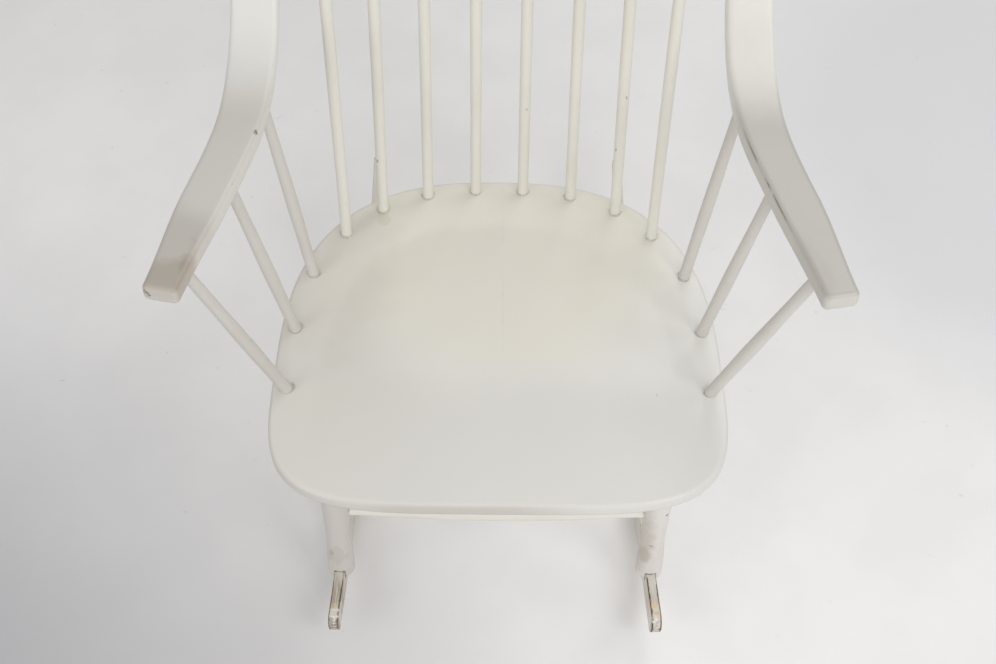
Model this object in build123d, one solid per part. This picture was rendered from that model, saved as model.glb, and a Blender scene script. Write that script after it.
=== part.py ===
from build123d import *
import math
import os

# Hoop back rocking chair, millimetres. The front faces -Y, Z is up, and left means -X.
# The origin lies on the floor, midway between the seat's front edge and the rocker tails.

# Overall
overall_depth = 744.0          # seat front edge to rocker tail, along Y
glue_gap = 0.1                 # room for glue round every tenon and pin
cut_margin = 20.0              # how far holes are cut past the surface they start from

# Seat board, sizes along and across the board
seat_front_height = 413.0      # top of the front edge above the floor
seat_tilt = 5.5                # degrees, the rear is lower
seat_half_width = 245.0
seat_front_length = 190.0      # front edge to the widest line
seat_rear_length = 292.0       # widest line to the rear edge
seat_front_power = 4.4         # squareness of the front outline
seat_rear_power = 2.6          # squareness of the rear outline
seat_thickness = 30.0
seat_edge_thickness = 14.0     # upright part of the edge, above the undercut
undercut_width = 34.0
seat_top_round = 4.5
quarter_points = 11            # points that each quarter of the outline runs through

# Dish in the seat
dish_rim = 36.0                # width of the flat deck that carries the spindles
dish_wall = 26.0               # width of the soft slope inside the deck
dish_depth = 7.0               # at the rear end of the dish
dish_front = 70.0              # the dish fades out this far behind the front edge
dish_length = 360.0            # from there to where it is deepest
dish_overcut = 3.0             # how far the cutting shape runs past the dish, up and down

# Back and arm spindles
spindle_base_radius = 6.5
spindle_belly_radius = 7.0
spindle_top_radius = 6.0
spindle_belly_place = 0.4      # share of the length, from the seat
spindle_straight_end = 56.0    # straight length at each end
seat_socket_depth = 18.0
bow_socket_past_centre = 2.0
back_spindle_inset = 20.0      # in from the seat edge
back_spindle_first_angle = 6.1     # degrees round the seat from its middle line
back_spindle_angle_step = 12.3
hoop_half_widths = (29.0, 88.0, 144.0, 201.0)      # where the back spindles meet the hoop
arm_spindle_inset = 17.0
arm_spindle_angles = {"front": -10.3, "middle": 11.0, "rear": 31.0}     # from the widest line
arm_spindle_stations = {"front": 43.0, "middle": 171.0, "rear": 318.0}  # from the arm's tip

# Arms, the straight ends of the bow
arm_tip_half_width = 305.5
arm_tip_y = -285.0
arm_root_half_width = 265.5    # where the straight part ends
arm_root_y = -58.0
arm_rise = 241.0               # centre of the arm above the seat, straight up

# Elbows and hoop, the bent part of the bow
elbow_half_width = 263.5
elbow_y = -26.0                # where the arm starts to turn up
elbow_radius = 150.0
hoop_side_half_width = 258.0   # just above the elbow
hoop_side_lean = 22.0          # degrees back from upright
hoop_top_height = 983.0        # centre of the bow at its top
hoop_top_setback = 188.0       # behind the end of the elbow
hoop_stations = (              # half width, share of the rise and share of the setback
    (244.0, 0.38, 0.24),
    (203.0, 0.735, 0.58),
    (111.7, 0.955, 0.91),
)

# Section of the bow
bow_shape = (                  # share of the bow's length from the tip, width and thickness
    (0.0, 34.0, 19.5),
    (0.07, 45.0, 19.5),
    (0.18, 50.5, 19.5),
    (0.5, 34.0, 22.0),
)
bow_edge_round = 6.0
bow_end_round = 5.0
bow_sections = 41

# Rockers
rocker_nose_y = -351.0
rocker_nose_half_width = 199.0
rocker_tail_half_width = 180.0
rocker_sole_radius = 950.0
rocker_crown_radius = 1071.0
balance_y = -73.3              # the rockers touch the floor here, below the centre of mass
rocker_height = 40.0           # at the balance point
rocker_thickness = 12.5
rocker_edge_round = 2.0
rocker_top_corner = 15.0       # how far behind each tip the rounding of the top edge starts
rocker_sole_corner = 7.0       # and that of the underside

# Legs: foot on the rocker, top under the seat
leg_foot_y = {"front": -262.0, "rear": 92.0}
leg_top_half_width = {"front": 188.0, "rear": 132.0}
leg_top_y = {"front": -233.0, "rear": 28.0}
leg_overlap = 17.0             # how far the slotted foot reaches down over the rocker
leg_foot_radius = 16.8
leg_foot_round = 5.0
leg_foot_length = 62.0         # from the end of the foot up to the neck
leg_bulge_share = 0.6          # share of the foot length that keeps its full radius
leg_neck_radius = 15.6
leg_body_radius = 17.5
leg_body_place = 0.55          # share of the length, from the foot
leg_top_radius = 12.5
leg_straight_top = 34.0
leg_socket_depth = 19.0

# Stretchers and pins
stretcher_height = {"front": 177.0, "rear": 185.0}
stretcher_belly_radius = 13.0
stretcher_end_radius = 7.5
stretcher_straight_end = 26.0
stretcher_end_inset = 4.0      # from the middle line of the leg
pin_radius = 3.0
pin_drop = 8.0                 # pin centre below the rocker's top edge

# Worked out from the sizes above
tilt = math.radians(seat_tilt)
seat_front_y = seat_edge_thickness * math.sin(tilt) - overall_depth / 2
seat_plane = Plane(
    origin=(0, seat_front_y, seat_front_height),
    x_dir=(1, 0, 0),
    z_dir=(0, math.sin(tilt), math.cos(tilt)),
)
rocker_tail_y = overall_depth / 2
toe_in = math.atan2(
    rocker_nose_half_width - rocker_tail_half_width, rocker_tail_y - rocker_nose_y
)


def round_bar(start, end, radius):
    """A plain cylinder along a line, used to cut holes and for the pins."""
    line = end - start
    base = Plane(origin=start, z_dir=line)
    return base * Cylinder(radius, line.length, align=(Align.CENTER, Align.CENTER, Align.MIN))


def turned(outline, start, course):
    """Turns an outline, drawn as radius against length, into a round piece along a line."""
    profile = Plane.XZ * make_face(outline)
    return Plane(origin=start, z_dir=course) * revolve(profile, Axis.Z)


def mirrored(point):
    """The same point on the other side of the chair."""
    return Vector(-point.X, point.Y, point.Z)


# Seat

def seat_spot(angle, inset):
    """A point round the seat, across and along the board, drawn in from the edge."""
    across = math.cos(angle)
    along = math.sin(angle)
    length = seat_rear_length if along > 0 else seat_front_length
    power = seat_rear_power if along > 0 else seat_front_power
    share = (abs(across) / (seat_half_width - inset)) ** power
    share += (abs(along) / (length - inset)) ** power
    reach = share ** (-1 / power)
    return reach * across, seat_front_length + reach * along


def seat_outline(inset, level):
    """The face inside the seat's outline, drawn in from the edge, above or below the top."""
    quarters = []
    for start in (0, 90, 180, 270):
        spots = []
        for step in range(quarter_points):
            angle = math.radians(start + 90 * step / (quarter_points - 1))
            across, along = seat_spot(angle, inset)
            spots.append((across, along, level))
        ahead = Vector(0, 1, 0).rotate(Axis.Z, start)
        quarters.append(Spline(*spots, tangents=[ahead, ahead.rotate(Axis.Z, 90)]))
    return make_face(Wire(quarters))


def on_seat(angle, inset):
    """A point of the seat's top in the chair's frame."""
    across, along = seat_spot(math.radians(angle), inset)
    return seat_plane.from_local_coords(Vector(across, along, 0))


def seat_height_at(y):
    return seat_front_height - math.tan(tilt) * (y - seat_front_y)


def dish_cutter():
    """The wood taken out of the dish: soft side slopes and a flat floor that fades out in front."""
    slope = dish_wall / dish_depth
    lower = dish_depth + dish_overcut
    basin = loft([
        seat_outline(dish_rim + slope * lower, -lower),
        seat_outline(dish_rim - slope * dish_overcut, dish_overcut),
    ])
    floor_angle = math.degrees(math.atan2(dish_depth, dish_length))
    floor = Plane(origin=(0, dish_front, 0)).rotated((-floor_angle, 0, 0))
    reach = 2 * (seat_front_length + seat_rear_length)
    above = floor * Box(reach, reach, reach, align=(Align.CENTER, Align.CENTER, Align.MIN))
    return basin & above


def make_seat():
    """The board with its undercut edge, shallow dish and blind holes."""
    levels = [
        seat_outline(undercut_width, -seat_thickness),
        seat_outline(0, -seat_edge_thickness),
        seat_outline(0, 0),
    ]
    slab = loft(levels, ruled=True)
    slab = fillet(slab.faces().sort_by(Axis.Z)[-1].edges(), seat_top_round)
    board = seat_plane * (slab - dish_cutter())
    holes = []
    for base, top in all_spindle_lines():
        course = (top - base).normalized()
        bottom = base - course * (seat_socket_depth + glue_gap)
        holes.append(round_bar(bottom, base + course * cut_margin, spindle_base_radius + glue_gap))
    for place in leg_foot_y:
        foot, top = leg_line(place)
        course = (top - foot).normalized()
        end = top + course * (leg_socket_depth + glue_gap)
        hole = round_bar(top - course * cut_margin, end, leg_top_radius + glue_gap)
        holes += [hole, mirror(hole, about=Plane.YZ)]
    return board - holes


# Bow

def arm_point(half_width, y):
    return Vector(half_width, y, seat_height_at(y) + arm_rise)


def elbow_point(half_width, angle):
    """A point of the elbow's bend, by the angle that the bow has turned up from level."""
    start = arm_point(elbow_half_width, elbow_y)
    return Vector(
        half_width,
        start.Y + elbow_radius * (math.sin(angle) + math.sin(tilt)),
        start.Z + elbow_radius * (math.cos(tilt) - math.cos(angle)),
    )


def bow_centre_line():
    """The middle line of the whole bow, from the right arm's tip to the left arm's tip."""
    turn = math.radians(90 - hoop_side_lean)
    elbow_end = elbow_point(hoop_side_half_width, turn)
    rise = hoop_top_height - elbow_end.Z
    arm_tip = arm_point(arm_tip_half_width, arm_tip_y)
    arm_root = arm_point(arm_root_half_width, arm_root_y)
    side = [
        arm_tip,
        (arm_tip + arm_root) / 2,
        arm_root,
        arm_point(elbow_half_width, elbow_y),
        elbow_point((elbow_half_width + hoop_side_half_width) / 2, turn / 2),
        elbow_end,
    ]
    for half_width, rise_share, setback_share in hoop_stations:
        y = elbow_end.Y + setback_share * hoop_top_setback
        side.append(Vector(half_width, y, elbow_end.Z + rise_share * rise))
    top = Vector(0, elbow_end.Y + hoop_top_setback, hoop_top_height)
    other_side = [mirrored(point) for point in reversed(side)]
    inward = arm_root - arm_tip
    return Spline(*side, top, *other_side, tangents=[inward, mirrored(-inward)])


bow_line = bow_centre_line()


def bow_size(along):
    """Width and thickness of the section, changing smoothly between the sizes in bow_shape."""
    place = min(along, 1 - along)
    for first, last in zip(bow_shape, bow_shape[1:]):
        if place <= last[0]:
            break
    part = (place - first[0]) / (last[0] - first[0])
    smooth = part * part * (3 - 2 * part)
    width = first[1] + (last[1] - first[1]) * smooth
    thickness = first[2] + (last[2] - first[2]) * smooth
    return width, thickness


def bow_frame(along):
    """The plane of the bow's section: Y points out of the arm's top and the hoop's front."""
    spot = bow_line.position_at(along)
    course = bow_line.tangent_at(along)
    bend_start = seat_height_at(elbow_y) + arm_rise
    share = min(1, max(0, (spot.Z - bend_start) / elbow_radius))
    lean = math.radians(hoop_side_lean)
    face = seat_plane.z_dir * (1 - share) + Vector(0, -math.cos(lean), math.sin(lean)) * share
    face = (face - course * face.dot(course)).normalized()
    return Plane(origin=spot, x_dir=face.cross(course), z_dir=course)


def make_bow():
    """The bent bow that is both arms and the hoop, with blind holes for the spindles."""
    sections = []
    for step in range(bow_sections):
        along = step / (bow_sections - 1)
        width, thickness = bow_size(along)
        sections.append(bow_frame(along) * RectangleRounded(width, thickness, bow_edge_round))
    bow = loft(sections)
    tips = bow.faces().sort_by(Axis.Y)[:2]
    bow = fillet(tips[0].edges() + tips[1].edges(), bow_end_round)
    holes = []
    for base, top in all_spindle_lines():
        course = (top - base).normalized()
        end = top + course * (bow_socket_past_centre + glue_gap)
        start = end - course * spindle_straight_end
        holes.append(round_bar(start, end, spindle_top_radius + glue_gap))
    return bow - holes


# Spindles

def hoop_spot(half_width):
    """The point of the hoop's middle line at a distance from the chair's middle, on the right."""
    low = bow_shape[-2][0]
    high = 0.5
    while high - low > glue_gap / bow_line.length:
        middle = (low + high) / 2
        if bow_line.position_at(middle).X > half_width:
            low = middle
        else:
            high = middle
    return bow_line.position_at(low)


def back_spindle_lines():
    """Seat point and bow point of each back spindle, from left to right."""
    right = []
    for place, half_width in enumerate(hoop_half_widths):
        angle = 90 - back_spindle_first_angle - place * back_spindle_angle_step
        right.append((on_seat(angle, back_spindle_inset), hoop_spot(half_width)))
    left = [(mirrored(base), mirrored(top)) for base, top in reversed(right)]
    return left + right


def arm_spindle_line(place):
    """Seat point and bow point of a right arm spindle."""
    base = on_seat(arm_spindle_angles[place], arm_spindle_inset)
    top = bow_line.position_at(arm_spindle_stations[place] / bow_line.length)
    return base, top


def all_spindle_lines():
    lines = back_spindle_lines()
    for place in arm_spindle_angles:
        base, top = arm_spindle_line(place)
        lines += [(base, top), (mirrored(base), mirrored(top))]
    return lines


def make_spindle(base, top):
    """A slender turned stick with a slight belly, straight where it is glued in."""
    course = (top - base).normalized()
    start = base - course * seat_socket_depth
    length = (top - start).length + bow_socket_past_centre
    belly_end = length - spindle_straight_end
    outline = [
        Line((0, 0), (spindle_base_radius, 0)),
        Line((spindle_base_radius, 0), (spindle_base_radius, spindle_straight_end)),
        Spline(
            (spindle_base_radius, spindle_straight_end),
            (spindle_belly_radius, spindle_belly_place * length),
            (spindle_top_radius, belly_end),
            tangents=[(0, 1), (0, 1)],
        ),
        Line((spindle_top_radius, belly_end), (spindle_top_radius, length)),
        Line((spindle_top_radius, length), (0, length)),
        Line((0, length), (0, 0)),
    ]
    return turned(outline, start, course)


# Rockers

def rocker_sole(reach):
    """Height of the rocker's underside at a distance from the balance point."""
    return rocker_sole_radius - math.sqrt(rocker_sole_radius**2 - reach**2)


def rocker_crown(reach):
    """Height of the rocker's top edge at a distance from the balance point."""
    drop = math.sqrt(rocker_crown_radius**2 - reach**2)
    return rocker_height + rocker_crown_radius - drop


def rocker_reach(y):
    """Distance along the toed in rocker from the balance point."""
    return (y - balance_y) / math.cos(toe_in)


def rocker_spot(y, level):
    """A point of the right rocker's middle plane."""
    half_width = rocker_nose_half_width - (y - rocker_nose_y) * math.tan(toe_in)
    return Vector(half_width, y, level)


def rocker_end(tip):
    """The round end of a rocker, from its sole over the tip to its crown."""
    outward = math.copysign(1, tip)
    low = tip - outward * rocker_sole_corner
    high = tip - outward * rocker_top_corner
    sole_slope = low / (rocker_sole_radius - rocker_sole(low))
    crown_slope = high / (rocker_height + rocker_crown_radius - rocker_crown(high))
    return Spline(
        (low, rocker_sole(low)),
        (tip, (rocker_sole(tip) + rocker_crown(tip)) / 2),
        (high, rocker_crown(high)),
        tangents=[(outward, outward * sole_slope), (0, 1), (-outward, -outward * crown_slope)],
    )


def rocker_blank(thickness):
    """The right rocker as sawn: the ends are round but all edges are square."""
    side = Plane(
        origin=rocker_spot(balance_y, 0),
        x_dir=(-math.sin(toe_in), math.cos(toe_in), 0),
        z_dir=(math.cos(toe_in), math.sin(toe_in), 0),
    )
    nose = rocker_end(rocker_reach(rocker_nose_y))
    tail = rocker_end(rocker_reach(rocker_tail_y))
    outline = [
        ThreePointArc(nose @ 0, (0, 0), tail @ 0),
        tail,
        ThreePointArc(tail @ 1, (0, rocker_height), nose @ 1),
        nose,
    ]
    return side.offset(-thickness / 2) * extrude(make_face(outline), thickness)


def make_rocker():
    """The right rocker with softened edges and holes for the pins."""
    rocker = rocker_blank(rocker_thickness)
    rims = rocker.faces().filter_by(GeomType.PLANE).sort_by(SortBy.AREA)[-2:].edges()
    rocker = fillet(rims, rocker_edge_round)
    return rocker - [pin_hole(place) for place in leg_foot_y]


# Legs, stretchers and pins

def leg_line(place):
    """End of the foot and seat point of a right leg."""
    y = leg_foot_y[place]
    foot = rocker_spot(y, rocker_crown(rocker_reach(y)) - leg_overlap)
    top_y = leg_top_y[place]
    top = Vector(leg_top_half_width[place], top_y, seat_height_at(top_y) - seat_thickness)
    return foot, top


def leg_spot(place, height):
    """The point of a right leg's middle line at a height above the floor."""
    foot, top = leg_line(place)
    return foot + (top - foot) * ((height - foot.Z) / (top.Z - foot.Z))


def pin_bar(place, radius, half_length):
    """A bar through foot and rocker, for a pin or its hole."""
    crown = rocker_crown(rocker_reach(leg_foot_y[place]))
    middle = leg_spot(place, crown - pin_drop)
    reach = Vector(math.cos(toe_in), math.sin(toe_in), 0) * half_length
    return round_bar(middle - reach, middle + reach, radius)


def pin_hole(place):
    return pin_bar(place, pin_radius + glue_gap, cut_margin)


def make_pins():
    """The four wooden pins that hold the legs on the rockers, cut off flush."""
    right = [pin_bar(place, pin_radius, leg_foot_radius) for place in leg_foot_y]
    left = [mirror(pin, about=Plane.YZ) for pin in right]
    return Compound(children=right + left)


def stretcher_ends(place):
    spot = leg_spot(place, stretcher_height[place])
    end = Vector(spot.X - stretcher_end_inset, spot.Y, spot.Z)
    return mirrored(end), end


def make_leg(place):
    """A turned right leg: slotted foot, slim neck, fuller body and a straight top."""
    foot, top = leg_line(place)
    course = (top - foot).normalized()
    length = (top - foot).length + leg_socket_depth
    body_end = length - leg_straight_top
    outline = [
        Line((0, 0), (leg_foot_radius - leg_foot_round, 0)),
        CenterArc((leg_foot_radius - leg_foot_round, leg_foot_round), leg_foot_round, -90, 90),
        Spline(
            (leg_foot_radius, leg_foot_round),
            (leg_foot_radius, leg_bulge_share * leg_foot_length),
            (leg_neck_radius, leg_foot_length),
            (leg_body_radius, leg_body_place * length),
            (leg_top_radius, body_end),
            tangents=[(0, 1), (0, 1)],
        ),
        Line((leg_top_radius, body_end), (leg_top_radius, length)),
        Line((leg_top_radius, length), (0, length)),
        Line((0, length), (0, 0)),
    ]
    slot = rocker_blank(rocker_thickness + 2 * glue_gap)
    left_end, right_end = stretcher_ends(place)
    socket_end = right_end + Vector(glue_gap, 0, 0)
    socket = round_bar(left_end, socket_end, stretcher_end_radius + glue_gap)
    return turned(outline, foot, course) - [slot, socket, pin_hole(place)]


def make_stretcher(place):
    """A turned rail between a pair of legs, thickest in the middle."""
    start, end = stretcher_ends(place)
    length = (end - start).length
    belly_end = length - stretcher_straight_end
    outline = [
        Line((0, 0), (stretcher_end_radius, 0)),
        Line((stretcher_end_radius, 0), (stretcher_end_radius, stretcher_straight_end)),
        Spline(
            (stretcher_end_radius, stretcher_straight_end),
            (stretcher_belly_radius, length / 2),
            (stretcher_end_radius, belly_end),
        ),
        Line((stretcher_end_radius, belly_end), (stretcher_end_radius, length)),
        Line((stretcher_end_radius, length), (0, length)),
        Line((0, length), (0, 0)),
    ]
    return turned(outline, start, end - start)


# All pieces by name

def all_pieces():
    pieces = {"seat": make_seat(), "arm_bow": make_bow(), "rocker_pins": make_pins()}
    for number, (base, top) in enumerate(back_spindle_lines(), start=1):
        pieces[f"back_spindle_{number}"] = make_spindle(base, top)
    right_pieces = {"rocker": make_rocker()}
    for place in arm_spindle_angles:
        right_pieces[f"arm_spindle_{place}"] = make_spindle(*arm_spindle_line(place))
    for place in leg_foot_y:
        right_pieces[f"leg_{place}"] = make_leg(place)
        pieces[f"{place}_stretcher"] = make_stretcher(place)
    for name, piece in right_pieces.items():
        pieces[f"{name}_right"] = piece
        pieces[f"{name}_left"] = mirror(piece, about=Plane.YZ)
    return pieces


os.makedirs("parts", exist_ok=True)
for name, piece in all_pieces().items():
    export_step(piece, f"parts/{name}.step")
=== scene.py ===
import math

import bpy
import numpy as np
from mathutils import Matrix, Vector


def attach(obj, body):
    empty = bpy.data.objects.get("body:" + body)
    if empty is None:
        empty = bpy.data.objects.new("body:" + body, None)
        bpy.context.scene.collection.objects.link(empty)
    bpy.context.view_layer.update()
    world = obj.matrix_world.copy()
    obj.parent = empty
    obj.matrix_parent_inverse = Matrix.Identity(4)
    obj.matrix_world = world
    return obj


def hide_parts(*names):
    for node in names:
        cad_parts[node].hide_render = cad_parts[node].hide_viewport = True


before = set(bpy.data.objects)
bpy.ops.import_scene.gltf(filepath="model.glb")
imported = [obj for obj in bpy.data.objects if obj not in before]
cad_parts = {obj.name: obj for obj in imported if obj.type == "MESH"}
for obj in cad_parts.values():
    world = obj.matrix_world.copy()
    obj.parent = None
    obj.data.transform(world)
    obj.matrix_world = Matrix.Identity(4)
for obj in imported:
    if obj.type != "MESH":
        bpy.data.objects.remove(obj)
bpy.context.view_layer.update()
print("frame loaded, nodes:", len(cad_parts))


# short ways of placing nodes; a Wire is a node's output that can be used in sums like a number

class Wire:
    def __init__(self, bench, socket):
        self.bench = bench
        self.socket = socket


def giveSum(name, operation):
    setattr(Wire, f"__{name}__", lambda wire, other: wire.bench.sum(operation, wire, other))
    setattr(Wire, f"__r{name}__", lambda wire, other: wire.bench.sum(operation, other, wire))


sums = {"add": "ADD", "sub": "SUBTRACT", "mul": "MULTIPLY", "truediv": "DIVIDE", "pow": "POWER"}
for sign, operation in sums.items():
    giveSum(sign, operation)


class Bench:
    def __init__(self, tree):
        self.tree = tree

    def plug(self, value, socket):
        if isinstance(value, Wire):
            self.tree.links.new(value.socket, socket)
        else:
            socket.default_value = value

    def node(self, kind, inputs=None, **settings):
        made = self.tree.nodes.new(kind)
        for name, value in settings.items():
            setattr(made, name, value)
        for name, value in (inputs or {}).items():
            self.plug(value, made.inputs[name])
        return made

    def wire(self, kind, inputs=None, output=0, **settings):
        return Wire(self, self.node(kind, inputs, **settings).outputs[output])

    def sum(self, operation, *values):
        return self.wire("ShaderNodeMath", dict(enumerate(values)), operation=operation)

    def clamp(self, value):
        return self.sum("MINIMUM", self.sum("MAXIMUM", value, 0.0), 1.0)

    def smooth(self, value, start, end):
        # 0 before start, 1 after end, a soft step between; end may be below start
        share = self.clamp((value - start) / (end - start))
        return share * share * (3.0 - 2.0 * share)

    def vector(self, operation, *values):
        return self.wire("ShaderNodeVectorMath", dict(enumerate(values)), operation=operation)

    def scaled(self, vector, length):
        return self.wire("ShaderNodeVectorMath", {0: vector, "Scale": length}, operation="SCALE")

    def length(self, vector):
        return self.wire("ShaderNodeVectorMath", {0: vector}, "Value", operation="LENGTH")

    def xyz(self, x, y, z):
        return self.wire("ShaderNodeCombineXYZ", {0: x, 1: y, 2: z})

    def split(self, vector):
        made = self.node("ShaderNodeSeparateXYZ", {0: vector})
        return [Wire(self, output) for output in made.outputs]

    def place(self):
        # where the point lies, in the chair's own frame
        return self.wire("ShaderNodeTexCoord", output="Object")

    def noise(self, place, scale, detail=2.0, **more):
        # close to 0.5 on average
        inputs = {"Vector": place, "Scale": scale, "Detail": detail, **more}
        return self.wire("ShaderNodeTexNoise", inputs)

    def patches(self, place, scale, detail, low, high, **more):
        # noise drawn apart: 0 where it is under low, 1 over high
        return self.smooth(self.noise(place, scale, detail, **more), low, high)

    def blend(self, factor, first, second):
        made = self.node("ShaderNodeMix", data_type="RGBA")
        self.plug(factor, made.inputs[0])
        self.plug(first, made.inputs[6])
        self.plug(second, made.inputs[7])
        return Wire(self, made.outputs[2])

    def tint(self, mask, color, tone):
        # lays a tone over the colour; the tone is as it is read off a screen
        return self.blend(mask, color, srgb(*tone))


kinds = {
    "geometry": "NodeSocketGeometry",
    "float": "NodeSocketFloat",
    "int": "NodeSocketInt",
    "vector": "NodeSocketVector",
    "color": "NodeSocketColor",
    "material": "NodeSocketMaterial",
}


def newTree(name, treeKind, inputs, outputs):
    tree = bpy.data.node_groups.new(name, treeKind)
    for direction, sockets in (("INPUT", inputs), ("OUTPUT", outputs)):
        for socketName, kind in sockets.items():
            tree.interface.new_socket(name=socketName, in_out=direction, socket_type=kinds[kind])
    bench = Bench(tree)
    entry = tree.nodes.new("NodeGroupInput")
    given = {socketName: Wire(bench, entry.outputs[socketName]) for socketName in inputs}
    leave = tree.nodes.new("NodeGroupOutput")
    return tree, bench, given, leave.inputs


def effectTree(name, inputs, outputs):
    return newTree(name, "ShaderNodeTree", inputs, outputs)


def shapeTree(name, inputs):
    sockets = {"Geometry": "geometry", **inputs, "Finish": "material"}
    return newTree(name, "GeometryNodeTree", sockets, {"Geometry": "geometry"})


def finishGeometry(bench, mesh, material, result, seam=1e-6):
    # every tree ends with the merge of its seam, smooth shading, real instances and its material
    mesh = bench.wire("GeometryNodeMergeByDistance", {"Geometry": mesh, "Distance": seam})
    mesh = bench.wire("GeometryNodeSetShadeSmooth", {"Geometry": mesh})
    mesh = bench.wire("GeometryNodeRealizeInstances", {"Geometry": mesh})
    mesh = bench.wire("GeometryNodeSetMaterial", {"Geometry": mesh, "Material": material})
    bench.plug(mesh, result["Geometry"])


def storeNumber(bench, mesh, name, value):
    inputs = {"Geometry": mesh, "Name": name, "Value": value}
    return bench.wire("GeometryNodeStoreNamedAttribute", inputs, data_type="FLOAT", domain="POINT")


def readAttribute(bench, name, kind="FLOAT"):
    return bench.wire("GeometryNodeInputNamedAttribute", {"Name": name}, data_type=kind)


def rowGrid(bench, line, around):
    # a grid with a row for each point of the line: its mesh, its u and v, and the number of each point's row
    count = bench.wire("GeometryNodeAttributeDomainSize", {"Geometry": line}, "Point Count")
    grid = bench.node("GeometryNodeMeshGrid", {"Vertices X": count, "Vertices Y": around + 1})
    u, v = bench.split(Wire(bench, grid.outputs["UV Map"]))[:2]
    return Wire(bench, grid.outputs["Mesh"]), u, v, bench.sum("ROUND", u * (count - 1))


def fromLine(bench, line, row, name, kind="FLOAT"):
    # what the line's point of this row holds
    if name == "position":
        value = bench.wire("GeometryNodeInputPosition")
    else:
        value = readAttribute(bench, name, kind)
    inputs = {"Geometry": line, "Index": row, "Value": value}
    return bench.wire("GeometryNodeSampleIndex", inputs, data_type=kind, domain="POINT")


def lineMesh(name, lines, numbers, vectors=None):
    # one mesh of open lines; numbers and vectors hold a value for every point of all the lines
    points = [point for line in lines for point in line]
    edges = []
    first = 0
    for line in lines:
        edges += [(first + step, first + step + 1) for step in range(len(line) - 1)]
        first += len(line)
    mesh = bpy.data.meshes.new(name)
    mesh.from_pydata([tuple(point) for point in points], edges, [])
    for title, values in numbers.items():
        layer = mesh.attributes.new(title, "FLOAT", "POINT")
        layer.data.foreach_set("value", np.array(values, np.float32))
    for title, values in (vectors or {}).items():
        layer = mesh.attributes.new(title, "FLOAT_VECTOR", "POINT")
        layer.data.foreach_set("vector", np.array(values, np.float32).ravel())
    return mesh


def grow(name, mesh, tree, settings, nodes):
    # runs the tree on the mesh, keeps the plain result and lets it stand for the CAD nodes
    draft = bpy.data.objects.new(name + "Draft", mesh)
    bpy.context.scene.collection.objects.link(draft)
    modifier = draft.modifiers.new("shape", "NODES")
    modifier.node_group = tree
    for item in tree.interface.items_tree:
        if item.in_out == "INPUT" and item.name in settings:
            modifier[item.identifier] = settings[item.name]
    bpy.context.view_layer.update()
    graph = bpy.context.evaluated_depsgraph_get()
    made = bpy.data.meshes.new_from_object(draft.evaluated_get(graph), depsgraph=graph)
    draft.modifiers.remove(modifier)
    bpy.data.objects.remove(draft)
    made.name = name
    piece = bpy.data.objects.new(name, made)
    bpy.context.scene.collection.objects.link(piece)
    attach(piece, "root")
    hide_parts(*nodes)
    print("made", name, len(made.vertices), "points")
    return piece


def softCurve(points, startWay, endWay, stepsPerSpan=40):
    # a smooth line through the points, with its directions at both ends
    points = np.array([list(point) for point in points], float)
    spans = np.linalg.norm(np.diff(points, axis=0), axis=1)
    count = len(points)
    grid = np.zeros((count, count))
    right = np.zeros((count, points.shape[1]))
    grid[0, 0] = grid[-1, -1] = 1
    right[0] = np.array(startWay) / np.linalg.norm(startWay)
    right[-1] = np.array(endWay) / np.linalg.norm(endWay)
    for place in range(1, count - 1):
        before, after = spans[place - 1], spans[place]
        grid[place, place - 1] = 1 / before
        grid[place, place] = 2 / before + 2 / after
        grid[place, place + 1] = 1 / after
        right[place] = 3 * (points[place] - points[place - 1]) / before**2
        right[place] += 3 * (points[place + 1] - points[place]) / after**2
    slopes = np.linalg.solve(grid, right)
    found = []
    for place, span in enumerate(spans):
        for step in range(stepsPerSpan):
            t = step / stepsPerSpan
            found.append(
                (2 * t**3 - 3 * t**2 + 1) * points[place]
                + (t**3 - 2 * t**2 + t) * span * slopes[place]
                + (3 * t**2 - 2 * t**3) * points[place + 1]
                + (t**3 - t**2) * span * slopes[place + 1]
            )
    found.append(points[-1])
    return np.array(found)


def alongCurve(curve, stations):
    # points of the curve at distances from its start
    lengths = np.concatenate([[0], np.cumsum(np.linalg.norm(np.diff(curve, axis=0), axis=1))])
    columns = [np.interp(stations, lengths, curve[:, axis]) for axis in range(curve.shape[1])]
    return np.stack(columns, axis=1)


def curveLength(curve):
    return float(np.linalg.norm(np.diff(curve, axis=0), axis=1).sum())


def softStep(share):
    share = np.clip(share, 0, 1)
    return share * share * (3 - 2 * share)


def mirrored(point):
    return Vector((-point[0], point[1], point[2]))


# finishes: shared effects first

paintSkin = {
    "fineClouds": 9.0,         # this many fine clouds across a broad one
    "broadShare": 0.75,        # of the broad clouds in the mix
    "cloudEdges": (0.40, 0.64),
    "fineGloss": 0.10,         # how far the clouds change the roughness
    "broadGloss": 0.06,
    "pimpleScale": 620.0,
    "waveScale": 45.0,
    "strokeHeight": 0.45,
    "pimpleHeight": 0.25,
    "waveHeight": 0.9,
    "bumpDepth": 0.0006,
    "beadWidth": 0.0020,       # paint that ran into the corner round a joint
    "beadHeight": 1.5,
}
# patches, here and below: how fine, how detailed, the noise where they start and where they are full
wearShapes = {
    "grimeAndShadeReach": (0.25, 1.5),                   # least share of its reach, and how much noise adds
    "grimeAndShadeSolid": 0.15,                          # it starts to fade at this share of its reach
    "grimeAndShadeLeast": 0.45,                          # its strength between the patches
    "grimeAndShadePatches": (340.0, 3.0, 0.35, 0.6),
    "chipBare": (0.70, 0.735),
    "chipRim": (0.655, 0.77),
    "fibres": (1.0, 5.0, 0.38, 0.62),
    "markBumps": 1.6,                            # bumps of its rim across a mark
    "markRagged": 2.4,
    "markSolid": 0.55,                           # a mark starts to fade at this share of its size
}


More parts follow.
